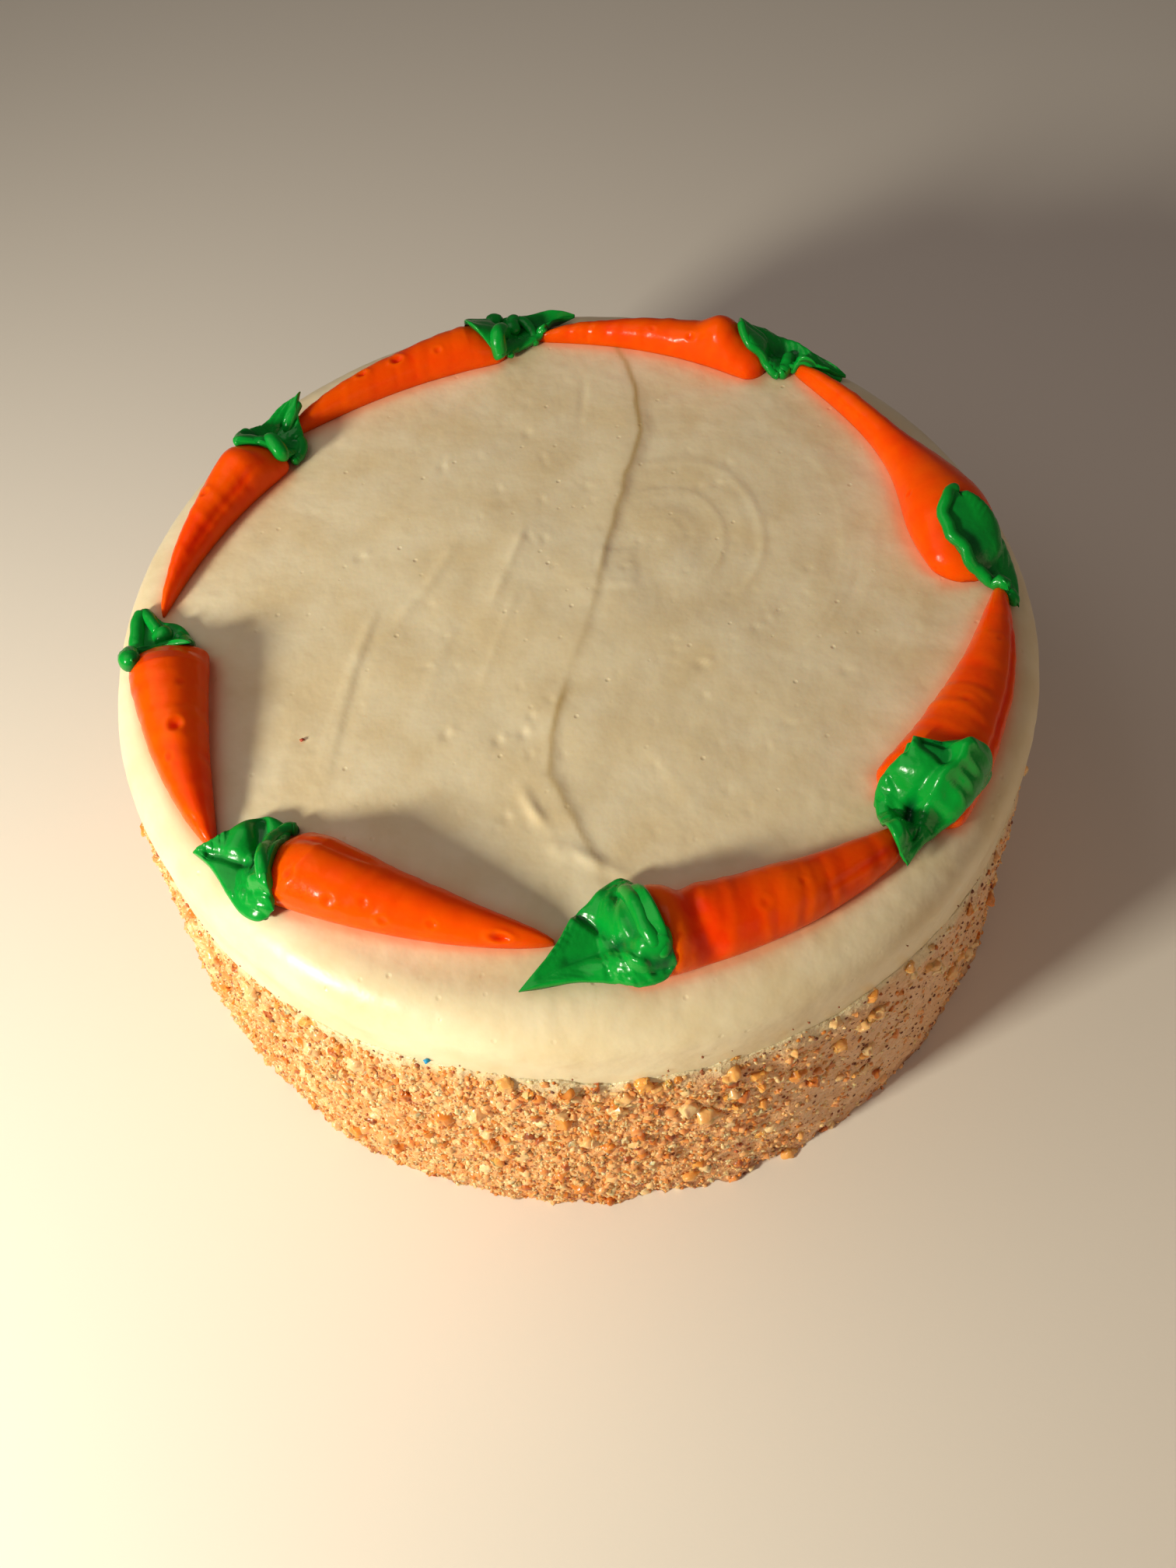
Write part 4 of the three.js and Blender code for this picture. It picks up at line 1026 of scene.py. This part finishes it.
def rope_mesh(path, radius, icing, carrots, leaves, seed):
    """A rolled fold of a leaf: a fat, slightly lumpy tube with round ends."""
    t = 0.5 - 0.5 * np.cos(np.linspace(0.03, math.pi - 0.03, ROPE_STATIONS))
    line = smooth_line(path, t)
    line[:, 2] += drape_height(line[:, 0], line[:, 1], icing, carrots) + leaves.rest
    run = np.linalg.norm(np.diff(line, axis=0), axis=1).sum()
    size = radius * np.sqrt(1 - np.clip(1 - np.minimum(t, 1 - t) * run / radius, 0, 0.99) ** 2)
    along = np.gradient(line, axis=0)
    along /= np.linalg.norm(along, axis=1)[:, None]
    across = np.cross(along, (0, 0, 1))
    across /= np.linalg.norm(across, axis=1)[:, None]
    up = np.cross(across, along)
    turn = np.linspace(0, 2 * math.pi, ROPE_SIDES, endpoint=False)
    ring = np.cos(turn)[:, None] * across[:, None] + np.sin(turn)[:, None] * up[:, None]
    points = (line[:, None] + size[:, None, None] * ring).reshape(-1, 3)
    centres = line.repeat(ROPE_SIDES, 0)
    points = centres + (points - centres) * (1 + 0.09 * lumpy(points, 2.6, seed))[:, None]
    # painted shade: the underside of each rope is marked to take the deeper colour
    crease = np.tile(0.5 - 0.5 * np.sin(turn), ROPE_STATIONS)
    return close_tube(points, ROPE_STATIONS, ROPE_SIDES, {"crease": crease})


def speck_mesh(places):
    """Small uneven lozenges, each with its place and size."""
    corner = np.array([(1, 0, 0), (0.2, 0.8, 0), (-0.9, 0.3, 0), (-0.3, -0.8, 0), (0, 0, 0.6), (0, 0, -0.6)])
    wall = np.array([(0, 1, 4), (1, 2, 4), (2, 3, 4), (3, 0, 4), (1, 0, 5), (2, 1, 5), (3, 2, 5), (0, 3, 5)])
    points, faces = [], []
    for k, (x, y, z, size) in enumerate(places):
        turn = 2.4 * k
        across, along = math.cos(turn), math.sin(turn)
        swing = np.array([(across, along, 0), (-along, across, 0), (0, 0, 1)])
        points.append(corner @ swing * size + (x, y, z))
        faces.append(wall + len(corner) * k)
    return np.concatenate(points), [*np.concatenate(faces)], {}


def join_parts(parts):
    """Closed meshes that run into each other, as one mesh."""
    points, faces, start = [], [], 0
    for part_points, part_faces, attributes in parts:
        points.append(part_points)
        faces += [face + start for face in part_faces]
        start += len(part_points)
    attributes = {key: np.concatenate([part[2][key] for part in parts]) for key in parts[0][2]}
    return np.concatenate(points), faces, attributes


# ---- materials ----
NUT_DEPTH = 0.8 * MM                     # how far light goes into a nut
NUT_LIGHT = (1.0, 0.7, 0.45)             # the share of that depth for red, green and blue


def icing_material(icing):
    """Cream cheese icing, spread with a spatula: satin and slightly see-through, which
    gives soft highlights on every lump and a warm, milky shade."""
    material, add = new_material("cream_cheese_icing")
    place = add("ShaderNodeTexCoord").outputs["Object"]
    cloud = add("ShaderNodeTexNoise", {"Vector": place, "Scale": 1 / (14 * MM), "Detail": 4.0})
    patch = add("ShaderNodeMapRange", {"Value": cloud.outputs[0], "From Min": 0.36, "From Max": 0.66})
    base = add("ShaderNodeMix", {0: patch.outputs[0], 6: icing.cream, 7: icing.shade}, data_type="RGBA")
    stain = add("ShaderNodeAttribute", attribute_name="stain")
    drawn = add("ShaderNodeMath", {0: stain.outputs["Fac"], 1: 0.5}, operation="MULTIPLY")
    base = add("ShaderNodeMix", {0: drawn.outputs[0], 6: base.outputs[2], 7: icing.stain}, data_type="RGBA")
    # painted shade along the seam's step
    seam = add("ShaderNodeAttribute", attribute_name="seam")
    base = add("ShaderNodeMix", {0: seam.outputs["Fac"], 6: base.outputs[2], 7: icing.seam},
               data_type="RGBA")
    # soft lumps 3.4 mm across, and a burst bubble of up to 1.2 mm in some of the cells of 4.5 mm
    lumps = add("ShaderNodeTexNoise", {"Vector": place, "Scale": 1 / (3.4 * MM), "Detail": 2.0})
    bubbles = add("ShaderNodeTexVoronoi", {"Vector": place, "Scale": 1 / (4.5 * MM)})
    chosen = add("ShaderNodeMapRange", {
        "Value": bubbles.outputs["Color"], "From Min": 0.45, "From Max": 0.9})
    hollow = add("ShaderNodeMapRange", {
        "Value": bubbles.outputs["Distance"], "From Min": 0.02, "From Max": 0.14, "To Min": 1.0,
        "To Max": 0.0})
    burst = add("ShaderNodeMath", {0: hollow.outputs[0], 1: chosen.outputs[0]}, operation="MULTIPLY")
    low = add("ShaderNodeBump", {"Height": lumps.outputs[0], "Strength": 0.28, "Distance": 0.45 * MM})
    bump = add("ShaderNodeBump", {
        "Height": burst.outputs[0], "Strength": 0.55, "Distance": 0.3 * MM, "Normal": low.outputs[0]},
        invert=True)
    gloss = add("ShaderNodeMapRange", {"Value": lumps.outputs[0], "To Min": 0.26, "To Max": 0.42})
    shader = add("ShaderNodeBsdfPrincipled", {
        "Base Color": base.outputs[2], "Roughness": gloss.outputs[0], "IOR": 1.45,
        "Specular IOR Level": 0.35, "Subsurface Weight": 0.25, "Subsurface Radius": (1.0, 0.75, 0.5),
        "Subsurface Scale": 2.2 * MM, "Normal": bump.outputs[0]})
    add("ShaderNodeOutputMaterial", {"Surface": shader.outputs[0]})
    return material


def buttercream_material(name, main, painted_shade, lump_size, specular, see_through, tint, depth):
    """Piped buttercream coloured with paste: fat keeps its skin glossy. Creases, pits, folds and
    undersides take the deeper colour as painted shade. lump_size and depth are in millimetres."""
    material, add = new_material(name)
    place = add("ShaderNodeTexCoord").outputs["Object"]
    # painted shade: where the mesh marks a crease, hollow or underside, the deeper colour is mixed in, patchy
    # by a noise
    crease = add("ShaderNodeAttribute", attribute_name="crease")
    cloud = add("ShaderNodeTexNoise", {"Vector": place, "Scale": 1 / (7 * MM), "Detail": 2.0})
    both = add("ShaderNodeMath", {0: crease.outputs["Fac"], 1: cloud.outputs[0]}, operation="MULTIPLY")
    share = add("ShaderNodeMapRange", {"Value": both.outputs[0], "From Min": 0.1, "From Max": 0.6})
    base = add("ShaderNodeMix", {0: share.outputs[0], 6: main, 7: painted_shade}, data_type="RGBA")
    lumps = add("ShaderNodeTexNoise", {"Vector": place, "Scale": 1 / (lump_size * MM), "Detail": 2.0})
    bump = add("ShaderNodeBump", {"Height": lumps.outputs[0], "Strength": 0.4, "Distance": 0.3 * MM})
    rough = add("ShaderNodeMapRange", {"Value": cloud.outputs[0], "To Min": 0.14, "To Max": 0.3})
    shader = add("ShaderNodeBsdfPrincipled", {
        "Base Color": base.outputs[2], "Roughness": rough.outputs[0], "IOR": 1.46,
        "Specular IOR Level": specular, "Subsurface Weight": see_through, "Subsurface Radius": tint,
        "Subsurface Scale": depth * MM, "Normal": bump.outputs[0]})
    add("ShaderNodeOutputMaterial", {"Surface": shader.outputs[0]})
    return material


def meal_material(coat, icing):
    """Ground walnut bound with icing: a dull, speckled paste, creamier at the upper edge
    and darker and browner in patches at the foot."""
    material, add = new_material("ground_walnut_meal")
    place = add("ShaderNodeTexCoord").outputs["Object"]
    grain = add("ShaderNodeTexNoise", {"Vector": place, "Scale": 1 / (1.6 * MM), "Detail": 3.0})
    ramp = add("ShaderNodeValToRGB", {"Fac": grain.outputs[0]})
    fill_ramp(ramp, [(0.22, linear("C8703A")), (0.34, linear("E4924A")), (0.50, coat.meal),
                     (0.70, coat.kernel)])
    coarse = add("ShaderNodeAttribute", attribute_name="coarse")
    bound = add("ShaderNodeMapRange", {"Value": coarse.outputs["Fac"], "To Min": 0.72, "To Max": 0.15})
    base = add("ShaderNodeMix", {0: bound.outputs[0], 6: ramp.outputs[0], 7: coat.paste},
               data_type="RGBA")
    # flecks of skin about 1 mm across
    flecks = add("ShaderNodeTexNoise", {
        "Vector": place, "Scale": 1 / (1.1 * MM), "Detail": 2.0, "Roughness": 0.6})
    fleck = add("ShaderNodeMapRange", {
        "Value": flecks.outputs[0], "From Min": 0.62, "From Max": 0.67, "To Max": 0.8})
    base = add("ShaderNodeMix", {0: fleck.outputs[0], 6: base.outputs[2], 7: coat.skin},
               data_type="RGBA")
    # darker, browner patches 9 mm across near the plate
    foot = add("ShaderNodeAttribute", attribute_name="foot")
    patch = add("ShaderNodeTexNoise", {"Vector": place, "Scale": 1 / (9 * MM), "Detail": 2.0})
    patchy = add("ShaderNodeMapRange", {
        "Value": patch.outputs[0], "From Min": 0.42, "From Max": 0.62, "To Min": 0.15, "To Max": 0.8})
    foot_patches = add("ShaderNodeMath", {0: foot.outputs["Fac"], 1: patchy.outputs[0]}, operation="MULTIPLY")
    base = add("ShaderNodeMix", {0: foot_patches.outputs[0], 6: base.outputs[2], 7: coat.skin}, data_type="RGBA")
    # icing has worked into the upper edge
    cream = add("ShaderNodeAttribute", attribute_name="cream")
    base = add("ShaderNodeMix", {0: cream.outputs["Fac"], 6: base.outputs[2], 7: icing.shade},
               data_type="RGBA")
    bump = add("ShaderNodeBump", {"Height": grain.outputs[0], "Strength": 1.0, "Distance": 0.9 * MM})
    shader = add("ShaderNodeBsdfPrincipled", {
        "Base Color": base.outputs[2], "Roughness": 0.32, "IOR": 1.45, "Normal": bump.outputs[0],
        "Subsurface Weight": 0.5, "Subsurface Radius": NUT_LIGHT, "Subsurface Scale": NUT_DEPTH})
    add("ShaderNodeOutputMaterial", {"Surface": shader.outputs[0]})
    return material


def fill_ramp(ramp, stops):
    """Sets a colour ramp's stops."""
    elements = ramp.color_ramp.elements
    while len(elements) < len(stops):
        elements.new(0.5)
    for element, (place, shade) in zip(elements, stops):
        element.position = place
        element.color = shade


def nut_material(name, stops, roughness, see_through):
    """Broken walnut: each bit takes its own tone from pale kernel to brown skin, and a
    film of oil gives the broken faces a sparkle."""
    material, add = new_material(name)
    place = add("ShaderNodeTexCoord").outputs["Object"]
    tone = add("ShaderNodeAttribute", attribute_name="tone")
    mottle = add("ShaderNodeTexNoise", {"Vector": place, "Scale": 1 / (1.4 * MM), "Detail": 2.0})
    shift = add("ShaderNodeMapRange", {"Value": mottle.outputs[0], "To Min": -0.16, "To Max": 0.16})
    mixed = add("ShaderNodeMath", {0: tone.outputs["Fac"], 1: shift.outputs[0]}, operation="ADD")
    ramp = add("ShaderNodeValToRGB", {"Fac": mixed.outputs[0]})
    fill_ramp(ramp, stops)
    bump = add("ShaderNodeBump", {"Height": mottle.outputs[0], "Strength": 0.5, "Distance": 0.3 * MM})
    shader = add("ShaderNodeBsdfPrincipled", {
        "Base Color": ramp.outputs[0], "Roughness": roughness, "IOR": 1.47, "Normal": bump.outputs[0],
        "Subsurface Weight": see_through, "Subsurface Radius": NUT_LIGHT, "Subsurface Scale": NUT_DEPTH})
    add("ShaderNodeOutputMaterial", {"Surface": shader.outputs[0]})
    return material


def plain_material(name, shade, roughness):
    """A plain dry surface, such as a sugar sprinkle or a sheet of studio paper."""
    material, add = new_material(name)
    place = add("ShaderNodeTexCoord").outputs["Object"]
    grain = add("ShaderNodeTexNoise", {"Vector": place, "Scale": 1 / (0.8 * MM), "Detail": 1.0})
    bump = add("ShaderNodeBump", {"Height": grain.outputs[0], "Strength": 0.1, "Distance": 0.1 * MM})
    shader = add("ShaderNodeBsdfPrincipled", {
        "Base Color": shade, "Roughness": roughness, "Normal": bump.outputs[0]})
    add("ShaderNodeOutputMaterial", {"Surface": shader.outputs[0]})
    return material


# ---- operators ----
class CAKE_OT_icing(bpy.types.Operator):
    """Spread the icing over the cake"""
    bl_idname = "carrot_cake.icing"
    bl_label = "Icing"

    def execute(self, context):
        cake = context.scene.carrot_cake
        icing, coat = in_mm(cake.icing), in_mm(cake.coat)
        piece = make_mesh("icing", *icing_mesh(icing, coat))
        finish_piece(piece, icing_material(icing), "iced_cake")
        return {"FINISHED"}


class CAKE_OT_nut_coat(bpy.types.Operator):
    """Press the ground walnut onto the lower side, then strew crumbs, chips and lumps"""
    bl_idname = "carrot_cake.nut_coat"
    bl_label = "Walnut coat"

    def execute(self, context):
        cake = context.scene.carrot_cake
        icing, coat = in_mm(cake.icing), in_mm(cake.coat)
        bed = make_mesh("walnut_meal", *coat_mesh(coat, icing))
        brown = linear("B8602A")
        crumb = nut_material("walnut_crumb", [
            (0.0, linear("FFD8A0")), (0.3, linear("FCB878")), (0.65, linear("F4A25C")),
            (0.88, coat.gold), (0.97, brown), (1.0, coat.skin)], roughness=0.3, see_through=0.8)
        lump = nut_material("walnut_lump", [
            (0.0, coat.kernel), (0.5, linear("EEAA52")), (0.85, coat.gold),
            (1.0, brown)], roughness=0.26, see_through=0.8)
        flake = nut_material("walnut_skin", [
            (0.0, linear("A86A48")), (0.4, coat.skin),
            (1.0, coat.dark_skin)], roughness=0.5, see_through=0.05)
        area = 2 * math.pi * STREW_RADIUS * coat.height * MM * MM
        # a fine crumb or a flake has few faces, a chip more and a lump the most
        fine = scatter_tree("strew_crumbs", 1)
        medium = scatter_tree("strew_chips", 2)
        full = scatter_tree("strew_lumps", 3)
        mean = self.weigh(bed)
        # tree, material, count, smallest and largest radius, flatness, how far it stands out,
        # how far and how finely it is knocked out of shape, where it is likely, and a seed
        for name, scatter, material, number, size, flat, rise, knock, knock_size, choice, seed in (
                ("crumbs_a", fine, crumb, coat.crumbs, (0.45, coat.grain), 0.6, -0.4, 1.0, 0.7, "grit", 3),
                ("crumbs_b", fine, crumb, coat.crumbs, (0.4, coat.grain), 0.6, -0.2, 1.0, 0.7, "grit", 4),
                ("chips", medium, crumb, coat.chips, (0.9, coat.chip), 0.55, -0.45, 2.6, 1.0, "grit", 5),
                ("lumps", full, lump, coat.lumps, (1.2, coat.lump), 0.6, -0.15, 3.0, 1.7, "lumpy", 6),
                ("flakes", fine, flake, coat.flakes, (0.2, 0.62), 0.15, 0.0, 0.4, 0.8, "skins", 7)):
            piece = strew(f"walnut_{name}", bed, scatter, coat, {
                "Density": number / area / mean[choice], "Smallest": size[0] * MM,
                "Largest": size[1] * MM, "Flatness": flat, "Rise": rise, "Knock": knock * MM,
                "Knock Scale": 1 / (knock_size * MM), "Choice": choice, "Seed": seed,
                "Lie Flat": choice == "skins", "Material": material})
            finish_piece(piece, None, "nut_coat")
        finish_piece(bed, meal_material(coat, icing), "nut_coat")
        return {"FINISHED"}

    def weigh(self, bed):
        """Stores how likely each kind of bit is to lie at each point of the bed, and returns
        each kind's mean chance over the outer face."""
        mesh = bed.data
        total = len(mesh.vertices)
        read = {}
        for key in ("coarse", "cream", "outer", "cover"):
            read[key] = np.zeros(total, np.float32)
            mesh.attributes[key].data.foreach_get("value", read[key])
        points = np.zeros(total * 3, np.float32)
        mesh.vertices.foreach_get("co", points)
        points = points.reshape(-1, 3) / MM
        clump = 0.4 * smooth_step(lumpy(points, 12, 61), -0.3, 0.7)
        turns = np.degrees(np.arctan2(points[:, 1], points[:, 0]))
        for turn, height in LUMP_HEAPS:
            clump += 2.2 * bell(np.hypot((turns - turn) * 1.95, points[:, 2] - height), 6)
        upper = smooth_step(points[:, 2], 25, 60)
        chances = {
            "grit": read["cover"] * (0.11 + 0.89 * read["coarse"]),
            "lumpy": read["outer"] * (0.22 + clump) * (0.5 + 0.5 * upper) * (1 - 0.4 * read["cream"]),
            "skins": read["outer"] * (1.0 - 0.6 * read["coarse"]) * (1 - 0.45 * read["cream"]),
        }
        mean = {}
        for key, chance in chances.items():
            layer = mesh.attributes.new(key, "FLOAT", "POINT")
            layer.data.foreach_set("value", chance.astype(np.float32))
            mean[key] = float(chance[read["outer"] > 0].mean())
        return mean


class CAKE_OT_carrots(bpy.types.Operator):
    """Pipe the eight carrots"""
    bl_idname = "carrot_cake.carrots"
    bl_label = "Carrots"

    def execute(self, context):
        cake = context.scene.carrot_cake
        icing, carrots = in_mm(cake.icing), in_mm(cake.carrots)
        material = buttercream_material("orange_buttercream", carrots.orange, carrots.painted_shade, lump_size=2.2,
                                        specular=0.12, see_through=0.7, tint=(1.0, 0.3, 0.1), depth=5)
        for number, carrot in enumerate(CARROTS, 1):
            piece = make_mesh(f"piped_carrot_{number}", *carrot_mesh(number, carrot, icing, carrots))
            finish_piece(piece, material, f"carrot_{number}")
        return {"FINISHED"}


class CAKE_OT_leaves(bpy.types.Operator):
    """Pipe a leaf at the head of each carrot"""
    bl_idname = "carrot_cake.leaves"
    bl_label = "Leaves"

    def execute(self, context):
        cake = context.scene.carrot_cake
        icing, carrots, leaves = in_mm(cake.icing), in_mm(cake.carrots), in_mm(cake.leaves)
        material = buttercream_material("green_buttercream", leaves.green, leaves.painted_shade, lump_size=1.8,
                                        specular=0.3, see_through=0.12, tint=(0.3, 1.0, 0.3), depth=1.5)
        for number, leaf in enumerate(LEAVES, 1):
            piece = make_mesh(f"piped_leaf_{number}", *leaf_mesh(number, leaf, icing, carrots, leaves))
            finish_piece(piece, material, f"leaf_{number}")
        return {"FINISHED"}


class CAKE_OT_specks(bpy.types.Operator):
    """Drop the few stray specks of nut skin and colour on the icing"""
    bl_idname = "carrot_cake.specks"
    bl_label = "Specks"

    def execute(self, context):
        cake = context.scene.carrot_cake
        icing, coat = in_mm(cake.icing), in_mm(cake.coat)
        rng = np.random.default_rng(71)
        on_side = icing.radius + 0.25
        brown = []
        while len(brown) < SMEAR_SPECKS:
            turn = math.radians(rng.uniform(-175, -20))
            z = float(coat_edge(np.array([turn]), coat)[0]) + rng.exponential(SMEAR_SPREAD)
            brown.append((on_side * math.cos(turn), on_side * math.sin(turn), z, rng.uniform(*SMEAR_SIZE)))
        x, y = (np.array([value]) for value in RED_SPECK)
        red = [(*RED_SPECK, float(icing_height(x, y, icing)[0]) + 0.15, 0.7)]
        turn, height, size = math.radians(BLUE_FLECK[0]), *BLUE_FLECK[1:]
        in_smear = icing.radius + 0.6
        blue = [(in_smear * math.cos(turn), in_smear * math.sin(turn), height, size)]
        for name, places, shade, roughness in (
                ("skin_specks", brown, coat.skin, 0.5), ("red_speck", red, linear("B5482E"), 0.4),
                ("blue_fleck", blue, linear("1497CC"), 0.25)):
            piece = make_mesh(name, *speck_mesh(places))
            finish_piece(piece, plain_material(name, shade, roughness), "iced_cake")
        return {"FINISHED"}


FLOOR_HALF = 4000
CAMERA_PLACE = (0.0, -0.19980, 0.32484)  # in metres
CAMERA_RIGHT = (0.996977, -0.066454, -0.040268)
CAMERA_UP = (0.077689, 0.843154, 0.532029)
CAMERA_AHEAD = (0.001403, 0.533549, -0.845768)
LIGHT_AIM = (0, 0, 0.087)                # the middle of the top
LIGHTS = [                               # turn and rise in degrees, distance, size, power and tint
    ("key", -143, 21, 0.60, 0.09, 3.9, (1.0, 0.97, 0.84)),
    ("fill", 172, 50, 0.36, 0.30, 0.28, (1.0, 0.90, 0.88)),
    ("bounce", -42, 10, 0.50, 0.30, 0.26, (1.0, 0.72, 0.48)),
]
WORLD_TINT = (1.0, 0.88, 0.86, 1.0)
WORLD_STRENGTH = 0.12


class CAKE_OT_stage(bpy.types.Operator):
    """Set the pale floor, the soft lights and the camera"""
    bl_idname = "carrot_cake.stage"
    bl_label = "Stage"

    def execute(self, context):
        stage = context.scene.carrot_cake.stage
        scene = context.scene
        corners = ((-1, -1), (1, -1), (1, 1), (-1, 1))
        floor = make_mesh("floor", [(FLOOR_HALF * x, FLOOR_HALF * y, 0) for x, y in corners], [(0, 1, 2, 3)])
        floor.data.materials.append(plain_material("studio_paper", tuple(stage.floor), 0.9))
        camera_data = bpy.data.cameras.new("camera")
        camera_data.sensor_width = 36
        camera_data.lens = stage.focal / MM
        camera_data.clip_start = 0.01
        camera = bpy.data.objects.new("camera", camera_data)
        facing = Matrix((CAMERA_RIGHT, CAMERA_UP, -Vector(CAMERA_AHEAD))).transposed().to_4x4()
        camera.matrix_world = Matrix.Translation(CAMERA_PLACE) @ facing
        scene.collection.objects.link(camera)
        scene.camera = camera
        for light in LIGHTS:
            self.soft_box(*light)
        world = bpy.data.worlds.new("studio")
        world.use_nodes = True
        background = world.node_tree.nodes["Background"].inputs
        background["Color"].default_value = WORLD_TINT
        background["Strength"].default_value = WORLD_STRENGTH
        scene.world = world
        scene.view_settings.view_transform = "Standard"
        return {"FINISHED"}

    def soft_box(self, name, turn, rise, distance, size, power, tint):
        """A square light that faces the cake."""
        data = bpy.data.lights.new(name, "AREA")
        data.size = size
        data.energy = power
        data.color = tint
        lamp = bpy.data.objects.new(name, data)
        turn, rise = math.radians(turn), math.radians(rise)
        place = Vector((math.cos(turn) * math.cos(rise), math.sin(turn) * math.cos(rise), math.sin(rise)))
        facing = place.to_track_quat("Z", "Y").to_matrix().to_4x4()
        lamp.matrix_world = Matrix.Translation(Vector(LIGHT_AIM) + place * distance) @ facing
        bpy.context.scene.collection.objects.link(lamp)


OPERATORS = (CAKE_OT_icing, CAKE_OT_nut_coat, CAKE_OT_carrots, CAKE_OT_leaves, CAKE_OT_specks, CAKE_OT_stage)


class CAKE_PT_panel(bpy.types.Panel):
    bl_label = "Carrot cake"
    bl_space_type = "VIEW_3D"
    bl_region_type = "UI"
    bl_category = "Cake"

    def draw(self, context):
        cake = context.scene.carrot_cake
        for group in (cake.icing, cake.coat, cake.carrots, cake.leaves, cake.stage):
            box = self.layout.box()
            for key in group.__annotations__:
                box.prop(group, key)
        for operator in OPERATORS:
            self.layout.operator(operator.bl_idname)


CLASSES = (CakeIcing, CakeCoat, CakeCarrots, CakeLeaves, CakeStage, CakeProperties, *OPERATORS, CAKE_PT_panel)


def register():
    for cls in CLASSES:
        bpy.utils.register_class(cls)
    bpy.types.Scene.carrot_cake = PointerProperty(type=CakeProperties)


def unregister():
    del bpy.types.Scene.carrot_cake
    for cls in reversed(CLASSES):
        bpy.utils.unregister_class(cls)


def main():
    register()
    bpy.ops.carrot_cake.icing()
    bpy.ops.carrot_cake.nut_coat()
    bpy.ops.carrot_cake.carrots()
    bpy.ops.carrot_cake.leaves()
    bpy.ops.carrot_cake.specks()
    bpy.ops.carrot_cake.stage()
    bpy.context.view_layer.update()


if __name__ == "__main__":
    main()
